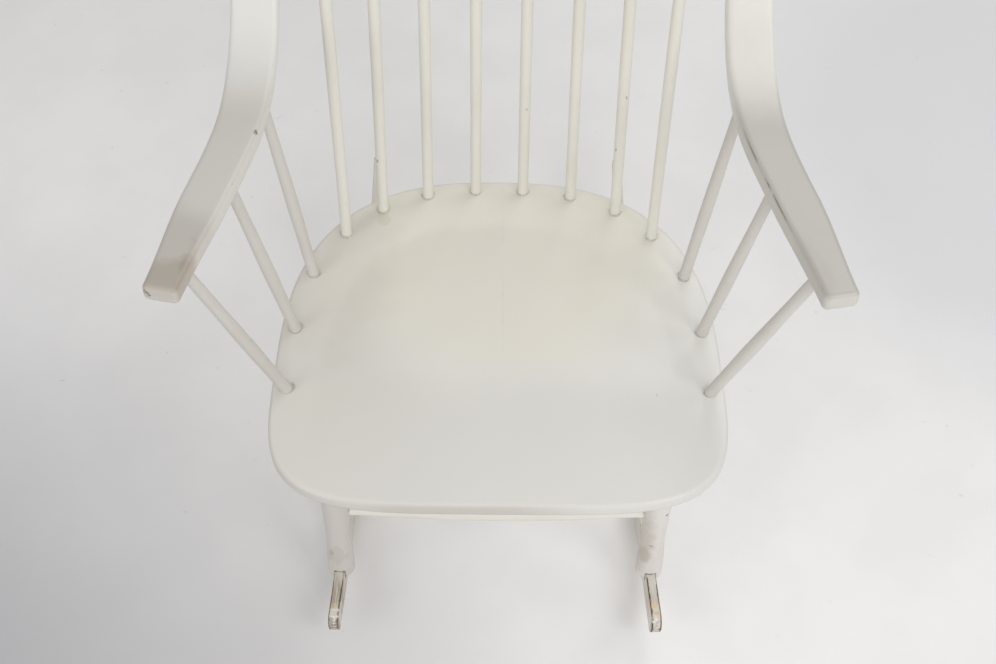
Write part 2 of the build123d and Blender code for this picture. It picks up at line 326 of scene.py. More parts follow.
def agedPaintGroup():
    # colour that drifts in clouds, a brushed and slightly pimpled skin, uneven gloss
    tree, bench, given, result = effectTree(
        "agedPaint",
        {"Paint": "color", "Stain": "color", "Cloud Scale": "float", "Cloudiness": "float",
         "Gloss": "float", "Brush": "vector"},
        {"Color": "color", "Roughness": "float", "Height": "float"},
    )
    place = bench.place()
    broad = bench.noise(place, given["Cloud Scale"], 3.0)
    fine = bench.noise(place, given["Cloud Scale"] * paintSkin["fineClouds"], 4.0)
    mixed = broad * paintSkin["broadShare"] + fine * (1 - paintSkin["broadShare"])
    clouds = bench.smooth(mixed, *paintSkin["cloudEdges"])
    bench.plug(bench.blend(clouds * given["Cloudiness"], given["Paint"], given["Stain"]), result["Color"])
    gloss = given["Gloss"] + (fine - 0.5) * paintSkin["fineGloss"] + (broad - 0.5) * paintSkin["broadGloss"]
    bench.plug(bench.clamp(gloss), result["Roughness"])
    strokes = bench.noise(bench.vector("MULTIPLY", place, given["Brush"]), 1.0, 3.0)
    pimples = bench.noise(place, paintSkin["pimpleScale"], 2.0)
    waves = bench.noise(place, paintSkin["waveScale"], 1.0)
    height = strokes * paintSkin["strokeHeight"] + pimples * paintSkin["pimpleHeight"]
    bench.plug(height + waves * paintSkin["waveHeight"], result["Height"])
    return tree


def grimeAndShadeGroup():
    # dirt, and in places painted shadow, that gathers within a reach of a joint or a ridge, broken up by
    # noise
    tree, bench, given, result = effectTree(
        "gatheredGrimeAndShade",
        {"Distance": "float", "Reach": "float", "Strength": "float", "Break Up": "float"},
        {"Mask": "float"},
    )
    place = bench.place()
    ragged = bench.noise(place, given["Break Up"], 4.0)
    leastReach, raggedReach = wearShapes["grimeAndShadeReach"]
    edge = given["Reach"] * (leastReach + raggedReach * ragged)
    near = 1.0 - bench.smooth(given["Distance"] / edge, wearShapes["grimeAndShadeSolid"], 1.0)
    least = wearShapes["grimeAndShadeLeast"]
    mottled = least + (1 - least) * bench.patches(place, *wearShapes["grimeAndShadePatches"])
    bench.plug(bench.clamp(near * mottled * given["Strength"]), result["Mask"])
    return tree


def chipGroup():
    # flakes knocked off near an edge: Bare is the open wood, Rim the dark line round it
    tree, bench, given, result = effectTree(
        "chippedPaint",
        {"Edge Distance": "float", "Reach": "float", "Amount": "float", "Scale": "float"},
        {"Bare": "float", "Rim": "float"},
    )
    place = bench.place()
    flakes = bench.noise(place, given["Scale"], 5.0, Roughness=0.62)
    fade = bench.clamp(given["Edge Distance"] / given["Reach"])
    level = flakes + given["Amount"] * (1.0 - fade) - fade * 0.5
    start, full = wearShapes["chipBare"]
    rimStart, rimEnd = wearShapes["chipRim"]
    bench.plug(bench.smooth(level, start, full), result["Bare"])
    rim = bench.smooth(level, rimStart, start) * (1.0 - bench.smooth(level, full, rimEnd))
    bench.plug(rim, result["Rim"])
    return tree


def bareWoodGroup():
    # wood under the paint, its grain drawn out along one way
    tree, bench, given, result = effectTree(
        "bareWood",
        {"Pale": "color", "Dark": "color", "Grain": "vector"},
        {"Color": "color"},
    )
    stretched = bench.vector("MULTIPLY", bench.place(), given["Grain"])
    fibres = bench.patches(stretched, *wearShapes["fibres"], Roughness=0.7)
    bench.plug(bench.blend(fibres, given["Pale"], given["Dark"]), result["Color"])
    return tree


def markGroup():
    # one small flaw at a place: a dab, speck or rubbed patch with a ragged rim
    tree, bench, given, result = effectTree(
        "paintMark",
        {"Centre": "vector", "Stretch": "vector", "Size": "float", "Ragged": "float"},
        {"Mask": "float"},
    )
    place = bench.place()
    away = bench.vector("MULTIPLY", bench.vector("SUBTRACT", place, given["Centre"]), given["Stretch"])
    bumps = bench.noise(place, wearShapes["markBumps"] / given["Size"], 4.0) - 0.5
    ragged = bumps * given["Ragged"] * wearShapes["markRagged"]
    outward = bench.length(away) / given["Size"] + ragged
    bench.plug(1.0 - bench.smooth(outward, wearShapes["markSolid"], 1.0), result["Mask"])
    return tree


agedPaint = agedPaintGroup()
gatheredGrimeAndShade = grimeAndShadeGroup()
chippedPaint = chipGroup()
bareWood = bareWoodGroup()
paintMark = markGroup()


def srgb(red, green, blue):
    # a colour as it is read off a screen, 0 to 255, made linear
    channels = []
    for value in (red, green, blue):
        value /= 255
        channels.append(value / 12.92 if value <= 0.04045 else ((value + 0.055) / 1.055) ** 2.4)
    return (*channels, 1.0)


def useGroup(bench, tree, inputs):
    made = bench.node("ShaderNodeGroup", inputs, node_tree=tree)
    return {output.name: Wire(bench, output) for output in made.outputs}


def grimeAndShadeMask(bench, distance, grimeAndShade):
    # dirt and painted shadow alike: how far it reaches, how strong it is, how finely it breaks up
    inputs = {"Distance": distance, "Reach": grimeAndShade[0], "Strength": grimeAndShade[1], "Break Up": grimeAndShade[2]}
    return useGroup(bench, gatheredGrimeAndShade, inputs)["Mask"]


def chipMasks(bench, edge, chips, amount=None):
    # chips: how far from the edge they reach, how many there are, how fine they are
    inputs = {"Edge Distance": edge, "Reach": chips[0], "Amount": amount or chips[1], "Scale": chips[2]}
    return useGroup(bench, chippedPaint, inputs)


def markMask(bench, centre, stretch, size, ragged):
    inputs = {"Centre": centre, "Stretch": stretch, "Size": size, "Ragged": ragged}
    return useGroup(bench, paintMark, inputs)["Mask"]


def addMarks(bench, color, marks, share=1.0):
    # marks: (centre, stretch, size, raggedness, colour, strength)
    for *shape, tone, strength in marks:
        color = bench.tint(markMask(bench, *shape) * strength * share, color, tone)
    return color


def surfaceAttribute(bench, name):
    return bench.wire("ShaderNodeAttribute", output="Fac", attribute_name=name)


def newMaterial(name):
    material = bpy.data.materials.new(name)
    material.use_nodes = True
    tree = material.node_tree
    shader = next(node for node in tree.nodes if node.type == "BSDF_PRINCIPLED")
    return material, Bench(tree), shader


def paintedMaterial(name, look, layers=None):
    # look has the paint's own values; layers(bench, color, roughness, height) adds wear on top
    material, bench, shader = newMaterial(name)
    paint = useGroup(bench, agedPaint, {
        "Paint": srgb(*look["paint"]), "Stain": srgb(*look["stain"]), "Cloud Scale": look["cloudScale"],
        "Cloudiness": look["cloudiness"], "Gloss": look["roughness"], "Brush": look["brush"],
    })
    color, roughness, height = paint["Color"], paint["Roughness"], paint["Height"]
    if layers:
        color, roughness, height = layers(bench, color, roughness, height)
    bench.plug(color, shader.inputs["Base Color"])
    bench.plug(bench.clamp(roughness), shader.inputs["Roughness"])
    bump = {"Strength": look["bump"], "Distance": paintSkin["bumpDepth"], "Height": height}
    bench.plug(bench.wire("ShaderNodeBump", bump, "Normal"), shader.inputs["Normal"])
    shader.inputs["Specular IOR Level"].default_value = look["specular"]
    return material


def barEnd(start, end, radius, further=0.0):
    # the end of a round bar: where it stops, its way there, its radius
    way = (end - start).normalized()
    return end + way * further, way, radius


def bothSides(bars):
    return bars + [(mirrored(end), mirrored(way), radius) for end, way, radius in bars]


def barDistance(bench, bars, shift=(0, 0, 0), stretch=0.05, fade=20.0):
    # distance from the skin of the nearest bar's last stretch; it grows fast past both ends of that
    place = bench.place()
    nearest = None
    for end, way, radius in bars:
        away = bench.vector("SUBTRACT", place, tuple(end + Vector(shift)))
        gap = bench.length(bench.vector("CROSS_PRODUCT", away, tuple(way))) - radius
        past = bench.wire("ShaderNodeVectorMath", {0: away, 1: tuple(way)}, "Value", operation="DOT_PRODUCT")
        outside = bench.sum("MAXIMUM", past, -stretch - past)
        gap = gap + bench.sum("MAXIMUM", outside, 0.0) * fade
        nearest = gap if nearest is None else bench.sum("MINIMUM", nearest, gap)
    return bench.sum("MAXIMUM", nearest, 0.0)


def paintBead(bench, distance):
    return (1.0 - bench.smooth(distance, 0.0, paintSkin["beadWidth"])) * paintSkin["beadHeight"]


# dirt that more than one piece shows; these tones also paint shadow, the first behind the spindles' feet, the
# second in the slots where the rockers pass through the legs
grimeAndShadeTone, sootAndShadowTone = (120, 108, 90), (52, 44, 36)
print("finishes ready")


# the chair's own setting out, in metres; the origin is on the floor, the front faces -Y

chair = {
    "depth": 0.744,
    "seatHeight": 0.413,       # top of the seat's front edge
    "seatTilt": math.radians(5.5),
}
boardSizes = {
    "halfWidth": 0.245,
    "frontLength": 0.190,
    "rearLength": 0.292,
    "frontPower": 4.4,
    "rearPower": 2.6,
    "thickness": 0.030,
    "edgeThickness": 0.014,
    "undercut": 0.034,
    "topRound": 0.0045,
    "rim": 0.026,
    "wall": 0.062,
    "dishDepth": 0.007,
    "dishFront": 0.070,
    "dishLength": 0.360,
    "startBlend": 0.030,       # how softly the dish starts behind the front
    "floorBlend": 0.0015,      # how softly its wall meets its floor
    "around": 480,
    "rings": {"floor": 22, "slope": 34, "round": 8, "edge": 6, "below": 12},
}
tilt = chair["seatTilt"]
seatFrontY = boardSizes["edgeThickness"] * math.sin(tilt) - chair["depth"] / 2
boardWay = Vector((0, math.cos(tilt), -math.sin(tilt)))   # along the board, to the rear
boardUp = Vector((0, math.sin(tilt), math.cos(tilt)))


def seatPoint(degrees, inset):
    # a point of the seat's top, by its angle from the widest line and its inset from the edge
    across, along = math.cos(math.radians(degrees)), math.sin(math.radians(degrees))
    length = boardSizes["rearLength"] if along > 0 else boardSizes["frontLength"]
    power = boardSizes["rearPower"] if along > 0 else boardSizes["frontPower"]
    share = (abs(across) / (boardSizes["halfWidth"] - inset)) ** power
    share += (abs(along) / (length - inset)) ** power
    reach = share ** (-1 / power)
    corner = Vector((0, seatFrontY, chair["seatHeight"]))
    return corner + Vector((reach * across, 0, 0)) + boardWay * (boardSizes["frontLength"] + reach * along)


def seatHeightAt(y):
    return chair["seatHeight"] - math.tan(tilt) * (y - seatFrontY)


bowSizes = {
    "tipHalfWidth": 0.3055,
    "tipY": -0.285,
    "rootHalfWidth": 0.2655,
    "rootY": -0.058,
    "armRise": 0.241,          # from the seat's plane up to the arm's middle line
    "elbowHalfWidth": 0.2635,
    "elbowY": -0.026,
    "elbowRadius": 0.150,
    "sideHalfWidth": 0.258,
    "lean": math.radians(22),
    "topHeight": 0.983,
    "topSetback": 0.188,
    # (half width, share of the rise, share of the setback) up the side, and
    # (share of the length, width, thickness) from a tip to the top
    "stations": ((0.244, 0.38, 0.24), (0.203, 0.735, 0.58), (0.1117, 0.955, 0.91)),
    "section": ((0.0, 0.034, 0.0195), (0.07, 0.045, 0.0195), (0.18, 0.0505, 0.0195), (0.5, 0.034, 0.022)),
    "edgeRound": 0.006,
    "leastRound": 0.0025,
    "tipRound": 0.005,
    "rings": 300,
    "sides": 56,
}


def armPoint(halfWidth, y):
    return Vector((halfWidth, y, seatHeightAt(y) + bowSizes["armRise"]))


def elbowPoint(halfWidth, turn):
    start = armPoint(bowSizes["elbowHalfWidth"], bowSizes["elbowY"])
    return Vector((
        halfWidth,
        start.y + bowSizes["elbowRadius"] * (math.sin(turn) + math.sin(tilt)),
        start.z + bowSizes["elbowRadius"] * (math.cos(tilt) - math.cos(turn)),
    ))


def bowLine():
    # middle line of the bow, from the right arm's tip over the top to the left arm's tip
    turn = math.pi / 2 - bowSizes["lean"]
    elbowEnd = elbowPoint(bowSizes["sideHalfWidth"], turn)
    rise = bowSizes["topHeight"] - elbowEnd.z
    tip = armPoint(bowSizes["tipHalfWidth"], bowSizes["tipY"])
    root = armPoint(bowSizes["rootHalfWidth"], bowSizes["rootY"])
    side = [
        tip, (tip + root) / 2, root,
        armPoint(bowSizes["elbowHalfWidth"], bowSizes["elbowY"]),
        elbowPoint((bowSizes["elbowHalfWidth"] + bowSizes["sideHalfWidth"]) / 2, turn / 2),
        elbowEnd,
    ]
    for halfWidth, riseShare, backShare in bowSizes["stations"]:
        y = elbowEnd.y + backShare * bowSizes["topSetback"]
        side.append(Vector((halfWidth, y, elbowEnd.z + riseShare * rise)))
    top = Vector((0, elbowEnd.y + bowSizes["topSetback"], bowSizes["topHeight"]))
    otherSide = [mirrored(point) for point in reversed(side)]
    inward = root - tip
    return softCurve([*side, top, *otherSide], inward, mirrored(-inward))


bow = bowLine()
bowLength = curveLength(bow)


def bowPointAt(halfWidth, steps=2000):
    # a point of the bow's middle line between the right elbow and the top
    spots = alongCurve(bow, np.linspace(0.2 * bowLength, 0.5 * bowLength, steps))
    return Vector(spots[np.argmin(np.abs(spots[:, 0] - halfWidth))])


stickSizes = {
    "baseRadius": 0.0065,
    "bellyRadius": 0.0070,
    "topRadius": 0.0060,
    "bellyShare": 0.4,
    "straightEnd": 0.056,
    "seatSocket": 0.018,
    "pastBowCentre": 0.002,
    "backInset": 0.020,
    "firstAngle": 6.1,
    "angleStep": 12.3,
    "hoopHalfWidths": (0.029, 0.088, 0.144, 0.201),
    "armInset": 0.017,
    # (name, angle on the seat, distance from the arm's tip)
    "armPlaces": (("front", -10.3, 0.043), ("middle", 11.0, 0.171), ("rear", 31.0, 0.318)),
    "sides": 28,
    "rings": 90,
    "unevenness": 0.00016,
    "backSeed": 3.0,
    "armSeed": 8.0,
}


def backLines():
    right = []
    for number, halfWidth in enumerate(stickSizes["hoopHalfWidths"]):
        degrees = 90 - stickSizes["firstAngle"] - number * stickSizes["angleStep"]
        right.append((seatPoint(degrees, stickSizes["backInset"]), bowPointAt(halfWidth)))
    return [(mirrored(base), mirrored(top)) for base, top in reversed(right)] + right


def armLines():
    lines = []
    for name, degrees, station in stickSizes["armPlaces"]:
        base = seatPoint(degrees, stickSizes["armInset"])
        top = Vector(alongCurve(bow, [station])[0])
        lines += [(base, top), (mirrored(base), mirrored(top))]
    return lines


# bent and sawn bars: a section with round corners carried along a line

def carriedSectionTree():
    tree, bench, given, result = shapeTree("carriedSection", {"Sides": "int"})
    mesh, u, v, ring = rowGrid(bench, given["Geometry"], given["Sides"])

    def held(name, kind="FLOAT"):
        return fromLine(bench, given["Geometry"], ring, name, kind)

    centre, across, facing = (held(name, "FLOAT_VECTOR") for name in ("position", "across", "facing"))
    halfWide, halfThick, corner = held("wide") / 2.0, held("thick") / 2.0, held("corner")
    quarter = bench.sum("FLOOR", v * 3.99999)              # the seam's last points stay in the last quarter
    part = v * 4.0 - quarter
    odd = bench.sum("MODULO", quarter, 2.0)
    q = part + odd * (1.0 - 2.0 * part)                    # runs up, then down, then up again
    flatShare = 0.3                                        # share of a quarter taken by each half flat
    sideFlat, riseFlat = bench.clamp((1.0 - q) / flatShare), bench.clamp(q / flatShare)
    turn = bench.clamp((q - flatShare) / (1 - 2 * flatShare)) * (math.pi / 2)
    side = sideFlat * (halfWide - corner) + corner * bench.sum("COSINE", turn)
    rise = riseFlat * (halfThick - corner) + corner * bench.sum("SINE", turn)
    # the middle two quarters lie on the far side, the last two below
    sideSign = 1.0 - 2.0 * bench.sum("COMPARE", quarter, 1.5, 0.6)
    riseSign = 1.0 - 2.0 * bench.sum("GREATER_THAN", quarter, 1.5)
    spot = bench.vector("ADD", centre, bench.scaled(across, side * sideSign))
    spot = bench.vector("ADD", spot, bench.scaled(facing, rise * riseSign))
    mesh = bench.wire("GeometryNodeSetPosition", {"Geometry": mesh, "Position": spot})
    onFlat = (1.0 - sideFlat) * (halfWide - corner) + (1.0 - riseFlat) * (halfThick - corner)
    onArc = bench.sum("ABSOLUTE", turn - math.pi / 4) * corner
    mesh = storeNumber(bench, mesh, "edgeDistance", onFlat + onArc)
    mesh = storeNumber(bench, mesh, "alongShare", u)
    finishGeometry(bench, mesh, given["Finish"], result)
    return tree


carriedSection = carriedSectionTree()


def tipStations(length, rounding, count, steps=7):
    # distances along a bar, close together on its rounded ends, and how far the section draws in there
    turns = [math.pi / 2 * step / steps for step in range(steps)]
    start = [rounding * (1 - math.cos(turn)) for turn in turns]
    drawnIn = [rounding * (1 - math.sin(turn)) for turn in turns]
    middle = list(np.linspace(rounding, length - rounding, count))
    stations = [0.0] + start + middle + [length - place for place in reversed(start)] + [length]
    insets = [None] + drawnIn + [0.0] * count + list(reversed(drawnIn)) + [None]
    return np.array(stations), insets


bowLook = {
    "paint": (230, 229, 224), "stain": (222, 218, 206), "cloudScale": 8.0, "cloudiness": 0.4,
    "roughness": 0.34, "brush": (60.0, 60.0, 60.0), "bump": 0.12, "specular": 0.5,
    "jointGrimeAndShadow": (0.0030, 0.5, 200.0), "grimeRoughness": 0.2,
    "chips": (0.004, 0.10, 210.0), "chipStrength": 0.55, "chipDepth": 0.8,
    # the dirty line along the inner ridge of the right arm: centre, stretch, size and raggedness of its patch
    "ridgePatch": ((0.250, -0.157, 0.645), (4.0, 1.0, 1.0), 0.115, 0.1), "ridgeWidth": (0.0003, 0.0013),
    "ridgePatches": (45.0, 3.0, 0.36, 0.58), "ridgeStrength": 0.7,
    # the arms' tops are dull with handling, and dirtier towards the left tip; their sides are less so. This
    # is partly painted shade: the tops darker than the sides, and the right arm darker than the left, where
    # the lamps light more
    "sideShare": 0.62, "facingUp": (0.25, 0.8),
    "handledAndShaded": (
        ((0.280, -0.190, 0.646), (1, 1, 1), 0.230, 0.15, (181, 177, 170), 0.85),
        ((-0.270, -0.170, 0.646), (1, 1, 1), 0.230, 0.15, (198, 194, 187), 0.62),
        ((-0.302, -0.280, 0.662), (1, 1, 1), 0.130, 0.25, (158, 148, 134), 0.34),
        ((-0.302, -0.274, 0.666), (1, 1, 1), 0.040, 0.5, (140, 124, 104), 0.35),
    ),
    "marks": (
        # dirt on the inner faces towards the tips
        ((0.276, -0.262, 0.650), (3.0, 1, 1.5), 0.075, 0.5, (160, 148, 132), 0.16),
        ((-0.2820, -0.268, 0.651), (4.0, 1, 1.5), 0.046, 0.6, (146, 126, 108), 0.32),
        # dents and specks
        ((-0.3190, -0.2865, 0.6490), (1, 1, 0.7), 0.0062, 0.8, (112, 92, 68), 0.85),
        ((-0.2445, -0.0703, 0.6352), (1, 0.6, 1), 0.0034, 0.7, (96, 78, 58), 0.85),
    ),
}


def spindleTops():
    ends = backLines() + armLines()
    return [barEnd(base, top, stickSizes["topRadius"], stickSizes["pastBowCentre"]) for base, top in ends]


def bowLayers(bench, color, roughness, height):
    edge = surfaceAttribute(bench, "edgeDistance")
    upward = bench.split(bench.wire("ShaderNodeNewGeometry", output="Normal"))[2]
    # painted shade in part: the handled marks are weaker on faces that do not look up
    least = bowLook["sideShare"]
    share = least + (1 - least) * bench.smooth(upward, *bowLook["facingUp"])
    color = addMarks(bench, color, bowLook["handledAndShaded"], share)
    color = addMarks(bench, color, bowLook["marks"])
    ridge = 1.0 - bench.smooth(edge, *bowLook["ridgeWidth"])
    ridge = ridge * bench.patches(bench.place(), *bowLook["ridgePatches"])
    ridge = ridge * markMask(bench, *bowLook["ridgePatch"]) * bowLook["ridgeStrength"]
    color = bench.tint(ridge, color, grimeAndShadeTone)
    joint = barDistance(bench, spindleTops())
    grimeAndShade = grimeAndShadeMask(bench, joint, bowLook["jointGrimeAndShadow"])
    color = bench.tint(grimeAndShade, color, grimeAndShadeTone)
    chips = chipMasks(bench, edge, bowLook["chips"])
    color = bench.tint(chips["Bare"] * bowLook["chipStrength"], color, grimeAndShadeTone)
    height = height + paintBead(bench, joint) - chips["Bare"] * bowLook["chipDepth"]
    return color, roughness + grimeAndShade * bowLook["grimeRoughness"], height


bowPaint = paintedMaterial("bowPaint", bowLook, bowLayers)


def bowSection(place):
    # width and thickness at a share of the bow's length
    stations = bowSizes["section"]
    span = next(n for n in range(1, len(stations)) if place <= stations[n][0] or n == len(stations) - 1)
    first, last = stations[span - 1], stations[span]
    smooth = float(softStep((place - first[0]) / (last[0] - first[0])))
    return [first[n] + (last[n] - first[n]) * smooth for n in (1, 2)]


def makeBow():
    stations, insets = tipStations(bowLength, bowSizes["tipRound"], bowSizes["rings"])
    spots = alongCurve(bow, stations)
    step = 0.001                                           # for the bow's way at each station
    ahead = alongCurve(bow, np.minimum(stations + step, bowLength))
    behind = alongCurve(bow, np.maximum(stations - step, 0))
    bendStart = seatHeightAt(bowSizes["elbowY"]) + bowSizes["armRise"]
    hoopFace = Vector((0, -math.cos(bowSizes["lean"]), math.sin(bowSizes["lean"])))
    across, facing, wide, thick, corner = [], [], [], [], []
    for station, spot, way, inset in zip(stations, spots, ahead - behind, insets):
        way = Vector(way).normalized()
        share = min(1, max(0, (spot[2] - bendStart) / bowSizes["elbowRadius"]))
        face = boardUp * (1 - share) + hoopFace * share
        face = (face - way * face.dot(way)).normalized()
        facing.append(face)
        across.append(face.cross(way))
        width, thickness = bowSection(min(station, bowLength - station) / bowLength)
        if inset is None:                                  # the very tip closes to a point
            width = thickness = rounding = 0.0
        else:
            width, thickness = width - 2 * inset, thickness - 2 * inset
            rounding = max(bowSizes["leastRound"], bowSizes["edgeRound"] - inset)
        wide.append(width)
        thick.append(thickness)
        corner.append(rounding)
    mesh = lineMesh("bowLine", [spots], {"wide": wide, "thick": thick, "corner": corner},
                    {"across": across, "facing": facing})
    settings = {"Sides": bowSizes["sides"], "Finish": bowPaint}
    grow("bentBow", mesh, carriedSection, settings, ["arm_bow"])


makeBow()

rockerSizes = {
    "noseY": -0.351,
    "noseHalfWidth": 0.199,
    "tailHalfWidth": 0.180,
    "soleRadius": 0.950,
    "crownRadius": 1.071,
    "balanceY": -0.0733,
    "height": 0.040,
    "thickness": 0.0125,
    "edgeRound": 0.002,
    "topCorner": 0.015,        # how far behind each tip the top edge starts to round
    "soleCorner": 0.007,
    "tipRings": 16,
    "rings": 240,
    "sides": 56,
}
tailY = chair["depth"] / 2
toeIn = math.atan2(rockerSizes["noseHalfWidth"] - rockerSizes["tailHalfWidth"], tailY - rockerSizes["noseY"])


def soleHeight(reach):
    return rockerSizes["soleRadius"] - math.sqrt(rockerSizes["soleRadius"] ** 2 - reach**2)


def crownHeight(reach):
    drop = math.sqrt(rockerSizes["crownRadius"] ** 2 - reach**2)
    return rockerSizes["height"] + rockerSizes["crownRadius"] - drop


def rockerReach(y):
    return (y - rockerSizes["balanceY"]) / math.cos(toeIn)


def rockerPoint(y, level):
    halfWidth = rockerSizes["noseHalfWidth"] - (y - rockerSizes["noseY"]) * math.tan(toeIn)
    return Vector((halfWidth, y, level))


def roundedOff(share):
    # height left of a quarter round, from its tip at 0 to its start at 1
    return math.sqrt(max(0.0, 1 - (1 - min(share, 1)) ** 2))


# turned sticks: round bars whose thickness follows a template

def turnedBarsTree():
    inputs = {"Sides": "int", "Unevenness": "float", "Seed": "float"}
    tree, bench, given, result = shapeTree("turnedBars", inputs)
    curve = bench.wire("GeometryNodeMeshToCurve", {"Mesh": given["Geometry"]})
    place = bench.wire("GeometryNodeInputPosition")
    wanderScale = 22.0                                     # the unevenness changes every few centimetres
    inputs = {"Vector": place, "W": given["Seed"], "Scale": wanderScale}
    wander = bench.wire("ShaderNodeTexNoise", inputs, noise_dimensions="4D")
    radius = readAttribute(bench, "turnedRadius") + (wander - 0.5) * given["Unevenness"]
    ring = bench.wire("GeometryNodeCurvePrimitiveCircle", {"Resolution": given["Sides"], "Radius": 1.0})
    inputs = {"Curve": curve, "Profile Curve": ring, "Scale": radius, "Fill Caps": True}
    mesh = bench.wire("GeometryNodeCurveToMesh", inputs)
    finishGeometry(bench, mesh, given["Finish"], result)
    return tree


turnedBars = turnedBarsTree()


def growTurned(name, paths, radii, fromFoot, sizes, seed, finish, nodes):
    mesh = lineMesh(name + "Lines", paths, {"turnedRadius": radii, "fromFoot": fromFoot})
    settings = {"Sides": sizes["sides"], "Unevenness": sizes["unevenness"], "Seed": seed, "Finish": finish}
    return grow(name, mesh, turnedBars, settings, nodes)


stickLook = {
    "paint": (229, 227, 218), "stain": (222, 216, 201), "cloudScale": 11.0, "cloudiness": 0.35,
    "roughness": 0.35, "brush": (90.0, 90.0, 12.0), "bump": 0.12, "specular": 0.5,
    "footGrimeAndShade": (0.0022, 0.4, 160.0), "grimeRoughness": 0.25,
    "marks": (
        ((0.0315, 0.1215, 0.4785), (1, 1, 0.6), 0.0017, 0.7, (140, 126, 106), 0.6),
        ((0.1450, 0.1040, 0.5170), (1, 1, 0.6), 0.0018, 0.7, (132, 118, 98), 0.6),
        ((-0.1455, 0.0750, 0.4375), (1, 1, 0.6), 0.0019, 0.7, (140, 126, 106), 0.6),
        ((0.1360, 0.0815, 0.4545), (1, 1, 0.6), 0.0019, 0.7, (140, 126, 106), 0.6),
    ),
}


def stickLayers(bench, color, roughness, height):
    color = addMarks(bench, color, stickLook["marks"])
    grimeAndShade = grimeAndShadeMask(bench, surfaceAttribute(bench, "fromFoot"), stickLook["footGrimeAndShade"])
    color = bench.tint(grimeAndShade, color, grimeAndShadeTone)
    return color, roughness + grimeAndShade * stickLook["grimeRoughness"], height


stickPaint = paintedMaterial("stickPaint", stickLook, stickLayers)
# painted shade: the arm spindles get a greyer copy of the spindles' paint, as they stand in shade under the
# arms
armStickShadedLook = {**stickLook, "paint": (208, 205, 199), "stain": (199, 193, 182)}
armStickShadedPaint = paintedMaterial("armStickShadedPaint", armStickShadedLook, stickLayers)


def makeSticks(name, lines, nodes, seed, paint):
    paths, radii, fromFoot = [], [], []
    for base, top in lines:
        way = (top - base).normalized()
        start = base - way * stickSizes["seatSocket"]
        length = (top - start).length + stickSizes["pastBowCentre"]
        belly = stickSizes["bellyShare"] * length
        straight = stickSizes["straightEnd"]
        path = []
        for distance in np.linspace(0, length, stickSizes["rings"]):
            swell = float(softStep((distance - straight) / (belly - straight)))
            taper = float(softStep((distance - belly) / (length - straight - belly)))
            radius = stickSizes["baseRadius"] + (stickSizes["bellyRadius"] - stickSizes["baseRadius"]) * swell
            radius += (stickSizes["topRadius"] - stickSizes["bellyRadius"]) * taper
            path.append(start + way * float(distance))
            radii.append(radius)
            fromFoot.append(distance - stickSizes["seatSocket"])
        paths.append(path)
    growTurned(name, paths, radii, fromFoot, stickSizes, seed, paint, nodes)


backNodes = [f"back_spindle_{n}" for n in range(1, 9)]
armNodes = [
    f"arm_spindle_{place[0]}_{side}" for place in stickSizes["armPlaces"] for side in ("right", "left")
]
makeSticks("backSpindles", backLines(), backNodes, stickSizes["backSeed"], stickPaint)
makeSticks("armSpindles", armLines(), armNodes, stickSizes["armSeed"], armStickShadedPaint)

legSizes = {
    "footY": {"front": -0.262, "rear": 0.092},
    "topHalfWidth": {"front": 0.188, "rear": 0.132},
    "topY": {"front": -0.233, "rear": 0.028},
    "overlap": 0.017,
    "footRadius": 0.0168,
    "footRound": 0.005,
    "footRings": 9,
    "footLength": 0.062,
    "bulgeShare": 0.6,
    "neckRadius": 0.0156,
    "bodyRadius": 0.0175,
    "bodyShare": 0.55,
    "topRadius": 0.0125,
    "straightTop": 0.034,
    "socket": 0.019,
    "sides": 48,
    "unevenness": 0.0002,
    "seed": 5.0,
}


def legLine(place):
    y = legSizes["footY"][place]
    foot = rockerPoint(y, crownHeight(rockerReach(y)) - legSizes["overlap"])
    topY = legSizes["topY"][place]
    top = Vector((legSizes["topHalfWidth"][place], topY, seatHeightAt(topY) - boardSizes["thickness"]))
    return foot, top


def legTemplate(length):
    # the leg's thickness along its length: (distance from the foot's end, radius)
    heel, footRadius = legSizes["footRound"], legSizes["footRadius"]
    turns = np.linspace(0, math.pi / 2, legSizes["footRings"])
    rounded = [(heel * (1 - math.cos(turn)), footRadius - heel * (1 - math.sin(turn))) for turn in turns]
    bodyEnd = length - legSizes["straightTop"]
    shape = softCurve([
        (heel, footRadius),
        (legSizes["bulgeShare"] * legSizes["footLength"], footRadius),
        (legSizes["footLength"], legSizes["neckRadius"]),
        (legSizes["bodyShare"] * length, legSizes["bodyRadius"]),
        (bodyEnd, legSizes["topRadius"]),
    ], (1, 0), (1, 0), stepsPerSpan=30)
    return rounded + [tuple(point) for point in shape[1:]] + [(length, legSizes["topRadius"])]


railSizes = {
    "height": {"front": 0.177, "rear": 0.185},
    "bellyRadius": 0.013,
    "endRadius": 0.0075,
    "straightEnd": 0.026,
    "endInset": 0.004,
    "socket": 0.012,
    "rings": 70,
    "sides": 40,
    "unevenness": 0.0002,
    "seed": 11.0,
}


def railEnd(place, height):
    foot, top = legLine(place)
    spot = foot + (top - foot) * ((height - foot.z) / (top.z - foot.z))
    return Vector((spot.x - railSizes["endInset"], spot.y, spot.z))


